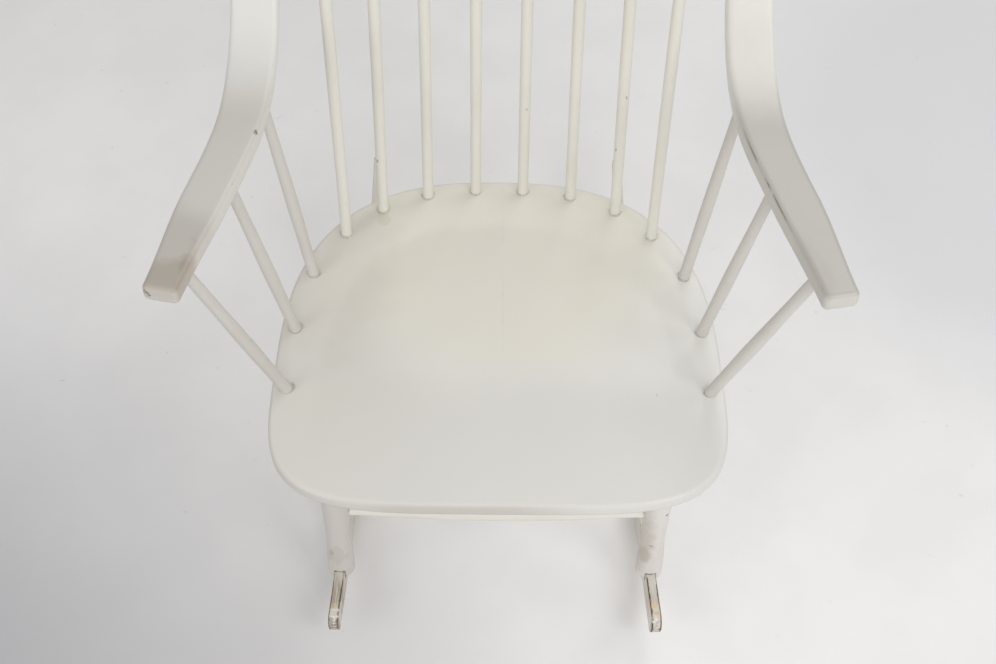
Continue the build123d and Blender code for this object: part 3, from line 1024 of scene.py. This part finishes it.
legLook = {
    # painted shade: the legs' paint is greyer than the other parts', as they stand in shade under the seat
    "paint": (224, 221, 216), "stain": (214, 208, 198), "cloudScale": 10.0, "cloudiness": 0.5,
    "roughness": 0.38, "brush": (90.0, 90.0, 14.0), "bump": 0.14, "specular": 0.45,
    # the slot line is painted shadow where the rocker passes through the leg
    "footGrimeAndShade": (0.008, 0.35, 120.0), "slotShadowLine": (0.0018, 0.9, 200.0), "jointGrimeAndShadow": (0.002, 0.3, 200.0),
    "grimeRoughness": 0.25, "slotDepth": 1.5,
    "marks": (
        ((-0.2048, -0.2704, 0.0987), (1, 1, 0.7), 0.0050, 0.35, (140, 130, 118), 0.45),
        ((-0.1985, -0.2733, 0.0965), (1, 1, 0.7), 0.0160, 0.8, (168, 160, 150), 0.28),
        # painted shade: the left leg is darker than the right one, which is darker on its inner side only
        ((-0.1960, -0.2620, 0.1500), (1, 1, 0.45), 0.075, 0.3, (188, 180, 171), 0.45),
        ((0.1700, -0.2700, 0.1300), (1, 1, 0.25), 0.030, 0.3, (184, 174, 162), 0.55),
        ((0.1837, -0.2689, 0.0976), (1, 1, 0.6), 0.0120, 0.25, (164, 154, 140), 0.33),
        ((0.1896, -0.2706, 0.1233), (0.5, 1, 1), 0.0022, 0.9, (92, 76, 58), 0.85),
        ((0.1960, -0.2716, 0.1200), (0.6, 1, 1), 0.0018, 0.9, (104, 88, 70), 0.7),
        ((0.2032, -0.2616, 0.1909), (1, 1, 1), 0.0026, 0.7, (98, 88, 76), 0.85),
    ),
}


def railEnds():
    ends = [railEnd(place, height) for place, height in railSizes["height"].items()]
    return bothSides([(end, Vector((1, 0, 0)), railSizes["endRadius"]) for end in ends])


def legLayers(bench, color, roughness, height):
    color = addMarks(bench, color, legLook["marks"])
    grimeAndShade = grimeAndShadeMask(bench, surfaceAttribute(bench, "fromFoot"), legLook["footGrimeAndShade"])
    color = bench.tint(grimeAndShade, color, grimeAndShadeTone)
    # painted shadow: a dark line on the leg where the rocker passes through it, standing for the shadow in
    # the slot
    slotShade = grimeAndShadeMask(bench, surfaceAttribute(bench, "slotDistance"), legLook["slotShadowLine"])
    color = bench.tint(slotShade, color, sootAndShadowTone)
    joint = barDistance(bench, railEnds())
    color = bench.tint(grimeAndShadeMask(bench, joint, legLook["jointGrimeAndShadow"]), color, grimeAndShadeTone)
    height = height + paintBead(bench, joint) - slotShade * legLook["slotDepth"]
    return color, roughness + grimeAndShade * legLook["grimeRoughness"], height


legPaint = paintedMaterial("legPaint", legLook, legLayers)


def makeLegs():
    paths, radii, fromFoot, nodes = [], [], [], []
    for place in legSizes["footY"]:
        foot, top = legLine(place)
        way = (top - foot).normalized()
        length = (top - foot).length + legSizes["socket"]
        template = legTemplate(length)
        for side, sign in (("right", 1), ("left", -1)):
            path = [foot + way * float(distance) for distance, radius in template]
            paths.append([(sign * spot.x, spot.y, spot.z) for spot in path])
            radii += [radius for distance, radius in template]
            fromFoot += [distance for distance, radius in template]
            nodes.append(f"leg_{place}_{side}")
    seed = legSizes["seed"]
    piece = growTurned("turnedLegs", paths, radii, fromFoot, legSizes, seed, legPaint, nodes)
    # how far each point lies from the skin of the rocker that runs through the foot
    distances = []
    for vertex in piece.data.vertices:
        x, y, z = vertex.co
        beside = abs(abs(x) - rockerPoint(y, z).x) - rockerSizes["thickness"] / 2
        above = z - crownHeight(rockerReach(y))
        distances.append(abs(max(beside, above)))
    layer = piece.data.attributes.new("slotDistance", "FLOAT", "POINT")
    layer.data.foreach_set("value", np.array(distances, np.float32))


makeLegs()

rockerLook = {
    "paint": (223, 219, 210), "stain": (206, 198, 182), "cloudScale": 14.0, "cloudiness": 0.6,
    "roughness": 0.45, "brush": (90.0, 14.0, 90.0), "bump": 0.2, "specular": 0.4,
    # the joint line is painted shadow in the slots round the legs
    "jointGrimeAndShadow": (0.0016, 0.8, 180.0), "chips": (0.0035, 0.06, 150.0), "rimStrength": 0.8,
    "noseChips": 0.20,         # more chips at the nose
    "woodPale": (186, 142, 92), "woodDark": (96, 62, 36), "grain": (500.0, 40.0, 500.0),
    # a pair of strengths is that on the right rocker and what the left one has on top; reaches and starts are
    # shares of the rocker's length
    "scuffGrey": (104, 100, 96), "scuffStrength": (0.35, 0.35), "scuffReach": (0.026, 0.050),
    "scuffPatches": (260.0, 4.0, 0.34, 0.54),
    "noseReach": (0.10, 0.15),
    "rubbedGrey": (170, 156, 142), "rubbedStrength": (0.35, 0.45), "rubbedStart": (0.060, 0.075),
    "rubbedPatches": (1.0, 4.0, 0.34, 0.60), "rubbedStretch": (700.0, 40.0, 60.0),
    "wornBlack": (66, 56, 46), "wornBrown": (138, 104, 72), "brownPatches": (55.0, 2.0, 0.42, 0.58),
    "wornWidth": 0.0032, "wornLeast": 0.02, "wornRagged": 1.5, "wornNose": 0.72, "wornLoss": 0.86,
    "wornStrength": 0.88, "wornDepth": 0.6, "wornRoughness": 0.25,
    "marks": (
        ((0.1980, -0.3246, 0.0699), (1, 1, 1), 0.0048, 0.9, (226, 204, 168), 0.95),
        ((0.1995, -0.3350, 0.0725), (1, 1, 1), 0.0040, 0.9, (222, 194, 150), 0.9),
        ((0.1948, -0.3453, 0.0751), (0.8, 1, 1), 0.0060, 0.9, (232, 230, 226), 0.85),
        ((-0.2003, -0.3286, 0.0709), (1, 1, 1), 0.0034, 0.8, (212, 188, 150), 0.8),
        ((-0.1973, -0.3344, 0.0723), (0.7, 2.2, 1), 0.0055, 0.6, (240, 238, 232), 0.9),
        ((-0.1964, -0.3432, 0.0746), (0.7, 2.0, 1), 0.0050, 0.6, (236, 232, 224), 0.85),
    ),
}


def legFeet():
    lines = [legLine(place) for place in legSizes["footY"]]
    return bothSides([barEnd(top, foot, legSizes["footRadius"]) for foot, top in lines])


def rockerLayers(bench, color, roughness, height):
    place = bench.place()
    edge = surfaceAttribute(bench, "edgeDistance")
    share = surfaceAttribute(bench, "alongShare")
    wood = useGroup(bench, bareWood, {
        "Pale": srgb(*rockerLook["woodPale"]), "Dark": srgb(*rockerLook["woodDark"]),
        "Grain": rockerLook["grain"],
    })
    # both ends are scuffed grey, the left rocker's more than the right one's
    fromEnd = bench.sum("MINIMUM", share, 1.0 - share)
    onLeft = bench.sum("LESS_THAN", bench.split(place)[0], 0.0)

    def strength(name):
        right, more = rockerLook[name]
        return right + more * onLeft

    scuffs = 1.0 - bench.smooth(fromEnd, *rockerLook["scuffReach"])
    scuffs = scuffs * bench.patches(place, *rockerLook["scuffPatches"])
    color = bench.tint(scuffs * strength("scuffStrength"), color, rockerLook["scuffGrey"])
    # the top of the nose is rubbed in streaks
    atNose = 1.0 - bench.smooth(share, *rockerLook["noseReach"])
    stretched = bench.vector("MULTIPLY", place, rockerLook["rubbedStretch"])
    rubbed = bench.patches(stretched, *rockerLook["rubbedPatches"])
    rubbed = rubbed * bench.smooth(share, *rockerLook["rubbedStart"]) * atNose
    color = bench.tint(rubbed * strength("rubbedStrength"), color, rockerLook["rubbedGrey"])
    amount = rockerLook["chips"][1] + rockerLook["noseChips"] * atNose
    chips = chipMasks(bench, edge, rockerLook["chips"], amount)
    color = bench.tint(chips["Rim"] * rockerLook["rimStrength"], color, sootAndShadowTone)
    color = bench.blend(chips["Bare"], color, wood["Color"])
    # the arrises are worn black and brown
    ragged = bench.noise(place, 120.0, 4.0)
    spread = rockerLook["wornRagged"] * ragged + rockerLook["wornNose"] * atNose - rockerLook["wornLoss"]
    width = rockerLook["wornWidth"] * bench.sum("MAXIMUM", spread, rockerLook["wornLeast"])
    worn = 1.0 - bench.smooth(edge / width, 0.45, 1.0)
    brown = bench.patches(place, *rockerLook["brownPatches"])
    tone = bench.blend(brown, srgb(*rockerLook["wornBlack"]), srgb(*rockerLook["wornBrown"]))
    color = bench.blend(worn * rockerLook["wornStrength"], color, tone)
    color = addMarks(bench, color, rockerLook["marks"])
    # painted shadow: a dark line round each leg where it enters the rocker, standing for the shadow in the
    # slot
    joint = grimeAndShadeMask(bench, barDistance(bench, legFeet()), rockerLook["jointGrimeAndShadow"])
    color = bench.tint(joint, color, sootAndShadowTone)
    roughness = roughness + (chips["Bare"] + worn) * rockerLook["wornRoughness"]
    return color, roughness, height - chips["Bare"] - worn * rockerLook["wornDepth"]


rockerPaint = paintedMaterial("rockerPaint", rockerLook, rockerLayers)


def makeRocker(side, sign):
    nose, tail = rockerReach(rockerSizes["noseY"]), rockerReach(tailY)
    topCorner, soleCorner = rockerSizes["topCorner"], rockerSizes["soleCorner"]
    ends = topCorner * (1 - np.cos(np.linspace(0, math.pi / 2, rockerSizes["tipRings"])))
    middle = np.linspace(nose + topCorner, tail - topCorner, rockerSizes["rings"])[1:-1]
    spots, thick, corner, wide = [], [], [], []
    for reach in [*(nose + ends), *middle, *(tail - ends[::-1])]:
        low, high = soleHeight(reach), crownHeight(reach)
        waist = (low + high) / 2
        fromTip = min(reach - nose, tail - reach)
        high = waist + (high - waist) * roundedOff(fromTip / topCorner)
        low = waist - (waist - low) * roundedOff(fromTip / soleCorner)
        spot = rockerPoint(rockerSizes["balanceY"] + reach * math.cos(toeIn), (low + high) / 2)
        spots.append((sign * spot.x, spot.y, spot.z))
        thick.append(high - low)
        corner.append(min(rockerSizes["edgeRound"], (high - low) / 2))
        wide.append(rockerSizes["thickness"] - 2 * (rockerSizes["edgeRound"] - corner[-1]))
    across = (-math.cos(toeIn), -sign * math.sin(toeIn), 0)
    mesh = lineMesh("rockerLine", [spots], {"wide": wide, "thick": thick, "corner": corner},
                    {"across": [across] * len(spots), "facing": [(0, 0, 1)] * len(spots)})
    settings = {"Sides": rockerSizes["sides"], "Finish": rockerPaint}
    grow("rocker" + side, mesh, carriedSection, settings, ["rocker_" + side.lower()])


makeRocker("Right", 1)
makeRocker("Left", -1)


def makeRails():
    paths, radii, fromFoot = [], [], []
    for place, height in railSizes["height"].items():
        end = railEnd(place, height)
        straight, half = railSizes["straightEnd"], end.x
        path = []
        for x in np.linspace(-half, half, railSizes["rings"]):
            fromEnd = half - abs(x)
            swell = math.sin(math.pi / 2 * min(1, max(0, (fromEnd - straight) / (half - straight))))
            path.append((x, end.y, end.z))
            radii.append(railSizes["endRadius"] + (railSizes["bellyRadius"] - railSizes["endRadius"]) * swell)
            fromFoot.append(fromEnd - railSizes["socket"])
        paths.append(path)
    nodes = ["front_stretcher", "rear_stretcher"]
    seed = railSizes["seed"]
    growTurned("stretchers", paths, radii, fromFoot, railSizes, seed, stickPaint, nodes)


makeRails()


# the seat: its section is drawn from the middle of the top, over the edge, to the middle below

sectionParts = ("inset", "shrink", "level", "isTop", "edgeDistance")
boardInputs = {
    "Half Width": boardSizes["halfWidth"],
    "Front Length": boardSizes["frontLength"],
    "Rear Length": boardSizes["rearLength"],
    "Front Power": boardSizes["frontPower"],
    "Rear Power": boardSizes["rearPower"],
    "Rim": boardSizes["rim"],
    "Wall": boardSizes["wall"],
    "Dish Depth": boardSizes["dishDepth"],
    "Dish Front": boardSizes["dishFront"],
    "Dish Length": boardSizes["dishLength"],
    "Floor Blend": boardSizes["floorBlend"],
    "Front Y": seatFrontY,
    "Front Height": chair["seatHeight"],
    "Tilt": tilt,
}


def boardTree():
    inputs = {"Around": "int", **{name: "float" for name in boardInputs}}
    tree, bench, given, result = shapeTree("boardFromSection", inputs)
    section = given["Geometry"]
    mesh, u, v, row = rowGrid(bench, section, given["Around"])
    inset, shrink, level, isTop, edge = (fromLine(bench, section, row, name) for name in sectionParts)
    turn = v * (2 * math.pi)
    across, along = bench.sum("COSINE", turn), bench.sum("SINE", turn)
    behind = bench.sum("GREATER_THAN", along, 0.0)
    length = given["Front Length"] + (given["Rear Length"] - given["Front Length"]) * behind
    power = given["Front Power"] + (given["Rear Power"] - given["Front Power"]) * behind
    share = (bench.sum("ABSOLUTE", across) / (given["Half Width"] - inset)) ** power
    share = share + (bench.sum("ABSOLUTE", along) / (length - inset)) ** power
    reach = share ** (-1.0 / power) * shrink
    x = reach * across
    y = given["Front Length"] + reach * along
    # the dish: a wall inside the rim, and a floor that falls from front to rear
    wallDrop = bench.smooth(inset, given["Rim"], given["Rim"] + given["Wall"]) * given["Dish Depth"]
    run = y - given["Dish Front"]
    slope = given["Dish Depth"] / given["Dish Length"]
    floorDrop = (run + bench.sum("SQRT", run * run + boardSizes["startBlend"] ** 2)) * 0.5 * slope
    drop = bench.sum("SMOOTH_MIN", wallDrop, floorDrop, given["Floor Blend"])
    z = level - bench.sum("MAXIMUM", drop, 0.0) * isTop
    flat, steep = bench.sum("COSINE", given["Tilt"]), bench.sum("SINE", given["Tilt"])
    spot = bench.xyz(x, given["Front Y"] + y * flat + z * steep, given["Front Height"] - y * steep + z * flat)
    mesh = bench.wire("GeometryNodeSetPosition", {"Geometry": mesh, "Position": spot})
    mesh = storeNumber(bench, mesh, "edgeDistance", edge)
    mesh = storeNumber(bench, mesh, "onTop", isTop)
    finishGeometry(bench, mesh, given["Finish"], result)
    return tree


def seatSection():
    # rows of sectionParts; a row's edge distance is roughly that from the middle of the nearest rounding
    rings, topRound, lowEdge, thickness, undercut = (
        boardSizes[name] for name in ("rings", "topRound", "edgeThickness", "thickness", "undercut")
    )
    inner = boardSizes["rim"] + boardSizes["wall"]
    pole = 1e-6                                            # the middle stays a hair open, and is merged
    farAway, belowEdge = 0.05, 0.02
    middleInset, middleLevel = 0.0013, 0.001               # about where the middle of the rounding lies
    lastRing = 0.002                                       # above the lower edge
    topFade = 1.6                                          # radians of the rounding over which the top fades
    rows = [(inner, max(share, pole), 0, 1, farAway) for share in np.linspace(0, 1, rings["floor"])[:-1]]
    for inset in np.linspace(inner, topRound, rings["slope"]):
        rows.append((inset, 1, 0, 1, max(0.0, inset - middleInset)))
    for turn in np.linspace(0, math.pi / 2, rings["round"])[1:]:
        inset, level = topRound * (1 - math.sin(turn)), -topRound * (1 - math.cos(turn))
        rows.append((inset, 1, level, 1 - turn / topFade, abs(turn - math.pi / 4) * topRound))
    for level in np.linspace(-topRound, -lowEdge + lastRing, rings["edge"])[1:]:
        rows.append((0, 1, level, 0, min(-level - middleLevel, lowEdge + level)))
    for share in (0.02, 0.05, 0.1, 0.3, 0.5, 0.7, 0.9, 0.97):
        rows.append((undercut * share, 1, -lowEdge - (thickness - lowEdge) * share, 0, belowEdge))
    rows.append((undercut, 1, -thickness, 0, belowEdge))
    for share in np.linspace(0.97, 0, rings["below"]):
        rows.append((undercut, max(share, pole), -thickness, 0, farAway))
    return rows


seatLook = {
    "paint": (232, 231, 226), "stain": (228, 225, 213), "cloudScale": 4.0, "cloudiness": 0.45,
    "roughness": 0.33, "brush": (420.0, 26.0, 60.0), "bump": 0.12, "specular": 0.45,
    "footGrimeAndShade": (0.0034, 0.45, 170.0), "grimeAndShadePatches": (70.0, 2.0, 0.42, 0.62), "grimeAndShadeLeast": 0.25,
    "shadowShift": (0, 0.0026, 0),            # painted shadow: the ring round each foot is thicker behind the spindle, where its shadow falls
    "grimeRoughness": 0.25,
    "outline": (0.0002, 0.0010), "outlineStrength": 0.3,      # a thin line round every joint
    "chips": (0.004, 0.12, 260.0), "chipStrength": 0.6, "chipDepth": 0.8,
    # painted shade: the edge below the top is darker, less so over these stretches of x on the right and on
    # the left
    "edgeShade": (196, 193, 186), "edgeShadeStrength": 0.85, "edgeShadeTop": (0.3, 0.99),
    "edgeShadeRight": (0.0, 0.11), "lossRight": 0.65, "edgeShadeLeft": (-0.16, -0.09), "lossLeft": 0.5,
    # the glue line between the two boards of the seat
    "seamX": 0.0047, "seamWander": 0.003, "seamWidth": (0.0003, 0.0011), "seamStart": (-0.20, -0.12),
    "seamPatches": (30.0, 3.0, 0.42, 0.62), "seamStrength": 0.10, "seamDepth": 0.12,
    "marks": (
        # yellowed where the sitter leans back
        ((0.0, 0.010, 0.380), (1, 1, 1), 0.260, 0.1, (234, 227, 209), 0.50),
        ((-0.1397, 0.0400, 0.3730), (1, 0.7, 1), 0.0095, 0.45, (208, 194, 164), 0.42),
        # painted shade: darker by the left arm's spindles and at the left front corner
        ((-0.200, -0.040, 0.385), (1.3, 0.7, 1), 0.120, 0.3, (218, 213, 203), 0.6),
        ((-0.270, -0.300, 0.405), (1, 1, 1), 0.260, 0.1, (212, 208, 199), 0.55),
        # a greyer patch over the front, and two specks
        ((0.060, -0.360, 0.412), (0.6, 1, 1), 0.200, 0.1, (222, 220, 215), 0.75),
        ((0.1707, -0.2246, 0.3990), (1, 1, 1), 0.0022, 0.6, (120, 108, 92), 0.7),
        ((-0.1639, -0.3690, 0.4125), (0.5, 1, 1), 0.0040, 0.9, (150, 120, 76), 0.9),
    ),
}


def spindleFeet():
    ends = backLines() + armLines()
    return [barEnd(top, base, stickSizes["baseRadius"], stickSizes["seatSocket"]) for base, top in ends]


def legTops():
    lines = [legLine(place) for place in legSizes["footY"]]
    return bothSides([barEnd(foot, top, legSizes["topRadius"], legSizes["socket"]) for foot, top in lines])


def seatLayers(bench, color, roughness, height):
    edge = surfaceAttribute(bench, "edgeDistance")
    color = addMarks(bench, color, seatLook["marks"])
    place = bench.place()
    x, y = bench.split(place)[:2]
    # painted shade on the rounding and the edge, off the top
    edgeShade = 1.0 - bench.smooth(surfaceAttribute(bench, "onTop"), *seatLook["edgeShadeTop"])
    loss = seatLook["lossRight"] * bench.smooth(x, *seatLook["edgeShadeRight"])
    edgeShade = edgeShade * (seatLook["edgeShadeStrength"] - loss)
    loss = seatLook["lossLeft"]
    edgeShade = edgeShade * ((1 - loss) + loss * bench.smooth(x, *seatLook["edgeShadeLeft"]))
    color = bench.tint(edgeShade, color, seatLook["edgeShade"])
    joint = barDistance(bench, spindleFeet() + legTops())
    # the ring round each spindle's foot is dirt, with painted shadow behind the spindle
    grimeAndShade = grimeAndShadeMask(bench, barDistance(bench, spindleFeet(), seatLook["shadowShift"]), seatLook["footGrimeAndShade"])
    least = seatLook["grimeAndShadeLeast"]
    patchy = least + (1 - least) * bench.patches(place, *seatLook["grimeAndShadePatches"])
    outline = (1.0 - bench.smooth(joint, *seatLook["outline"])) * seatLook["outlineStrength"]
    grimeAndShade = bench.sum("MAXIMUM", grimeAndShade, outline) * patchy
    color = bench.tint(grimeAndShade, color, grimeAndShadeTone)
    chips = chipMasks(bench, edge, seatLook["chips"])
    color = bench.tint(chips["Bare"] * seatLook["chipStrength"], color, grimeAndShadeTone)
    wander = (bench.noise(place, 9.0, 1.0) - 0.5) * seatLook["seamWander"]
    away = bench.sum("ABSOLUTE", x - seatLook["seamX"] + wander)
    seam = 1.0 - bench.smooth(away, *seatLook["seamWidth"])
    seam = seam * bench.patches(place, *seatLook["seamPatches"])
    seam = seam * bench.smooth(y, *seatLook["seamStart"])
    color = bench.tint(seam * seatLook["seamStrength"], color, grimeAndShadeTone)
    height = height + paintBead(bench, joint) - chips["Bare"] * seatLook["chipDepth"]
    height = height - seam * seatLook["seamDepth"]
    return color, roughness + grimeAndShade * seatLook["grimeRoughness"], height


seatPaint = paintedMaterial("seatPaint", seatLook, seatLayers)


def makeSeat():
    rows = seatSection()
    points = [(row[0], 0, row[2]) for row in rows]
    mesh = lineMesh("seatSection", [points], dict(zip(sectionParts, zip(*rows))))
    settings = {**boardInputs, "Around": boardSizes["around"], "Finish": seatPaint}
    grow("seatBoard", mesh, boardTree(), settings, ["seat"])


makeSeat()

# the pins keep their CAD shape; only their ends show, painted over

pinLook = {**legLook, "paint": (196, 188, 176), "stain": (176, 164, 148)}
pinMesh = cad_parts["rocker_pins"].data
pinMesh.materials.clear()
pinMesh.materials.append(paintedMaterial("pinPaint", pinLook))


# camera, floor and lamps

viewSizes = {
    "place": Vector((-0.01087, -0.9844, 1.5764)),
    "down": 54.5,              # degrees, as turn and roll are
    "turn": -0.675,
    "roll": 1.105,
    "lens": 46.99,             # millimetres
}


def makeCamera():
    down, turn, roll = (math.radians(viewSizes[name]) for name in ("down", "turn", "roll"))
    spin = Matrix.Rotation(turn, 3, "Z")
    look = spin @ Vector((0, math.cos(down), -math.sin(down)))
    up = spin @ Vector((0, math.sin(down), math.cos(down)))
    right = spin @ Vector((1, 0, 0))
    rolledRight = right * math.cos(roll) + up * math.sin(roll)
    rolledUp = up * math.cos(roll) - right * math.sin(roll)
    data = bpy.data.cameras.new("camera")
    data.sensor_width = 36
    data.lens = viewSizes["lens"]
    camera = bpy.data.objects.new("camera", data)
    bpy.context.scene.collection.objects.link(camera)
    turnMatrix = Matrix((rolledRight, rolledUp, -look)).transposed()
    camera.matrix_world = Matrix.Translation(viewSizes["place"]) @ turnMatrix.to_4x4()
    bpy.context.scene.camera = camera


makeCamera()


floorLook = {
    "half": 6.0,               # from the chair to each side of the floor
    "paint": (241, 240, 240), "stain": (245, 244, 244), "scuff": (150, 150, 152),
    "roughness": 0.7, "specular": 0.2,
    "mottles": (6.0, 5.0, 0.35, 0.65), "scuffPatches": (34.0, 5.0, 0.66, 0.74), "scuffStrength": 0.25,
    "marks": (
        # painted shade: the floor is darker towards the left front, and a little darker at the right rear
        ((-1.45, -1.30, 0), (1, 1, 1), 1.90, 0.05, (180, 179, 182), 1.0),
        ((1.02, 0.55, 0), (1, 1, 1), 0.72, 0.1, (228, 228, 230), 0.8),
    ),
}


def makeFloor():
    mesh = bpy.data.meshes.new("floor")
    half = floorLook["half"]
    corners = [(-half, -half, 0), (half, -half, 0), (half, half, 0), (-half, half, 0)]
    mesh.from_pydata(corners, [], [(0, 1, 2, 3)])
    floor = bpy.data.objects.new("floor", mesh)
    bpy.context.scene.collection.objects.link(floor)
    material, bench, shader = newMaterial("floorPaint")
    place = bench.place()
    mottled = bench.patches(place, *floorLook["mottles"])
    color = bench.blend(mottled, srgb(*floorLook["paint"]), srgb(*floorLook["stain"]))
    color = addMarks(bench, color, floorLook["marks"])
    scuffs = bench.patches(place, *floorLook["scuffPatches"], Roughness=0.7)
    color = bench.tint(scuffs * floorLook["scuffStrength"], color, floorLook["scuff"])
    bench.plug(color, shader.inputs["Base Color"])
    shader.inputs["Roughness"].default_value = floorLook["roughness"]
    shader.inputs["Specular IOR Level"].default_value = floorLook["specular"]
    mesh.materials.append(material)


makeFloor()


# where each lamp stands, what it points at, its side, its watts and whether it shows in the gloss
lamps = {
    "frontRightSoftbox": ((1.4, -1.5, 2.1), (0.1, 0, 0.2), 0.9, 11.5, True),
    "sideSoftbox": ((2.2, 0.1, 2.0), (0, 0, 0.2), 1.0, 4, True),
    "frontLeftSoftbox": ((-1.7, -1.5, 1.6), (0, 0, 0.3), 1.2, 9.5, True),
    "frontSoftbox": ((0.2, -2.5, 1.8), (0, 0, 0.3), 1.2, 18, False),
    "rearRightSoftbox": ((0.9, 1.5, 2.2), (0, 0, 0.3), 1.2, 10, True),
}
skyLight = {"color": (1.0, 0.997, 0.99, 1), "strength": 0.50}


def makeLamp(name, place, target, size, watts, shines):
    data = bpy.data.lights.new(name, "AREA")
    data.shape = "RECTANGLE"
    data.size = data.size_y = size
    data.energy = watts
    lamp = bpy.data.objects.new(name, data)
    bpy.context.scene.collection.objects.link(lamp)
    lamp.location = place
    lamp.visible_glossy = shines
    lamp.rotation_mode = "QUATERNION"
    lamp.rotation_quaternion = (Vector(target) - Vector(place)).to_track_quat("-Z", "Y")


for name, lamp in lamps.items():
    makeLamp(name, *lamp)

world = bpy.data.worlds.new("studio")
world.use_nodes = True
background = world.node_tree.nodes["Background"]
background.inputs["Color"].default_value = skyLight["color"]
background.inputs["Strength"].default_value = skyLight["strength"]
bpy.context.scene.world = world
bpy.context.scene.view_settings.view_transform = "Standard"
print("camera, floor and lamps ready")

print("scene ready")
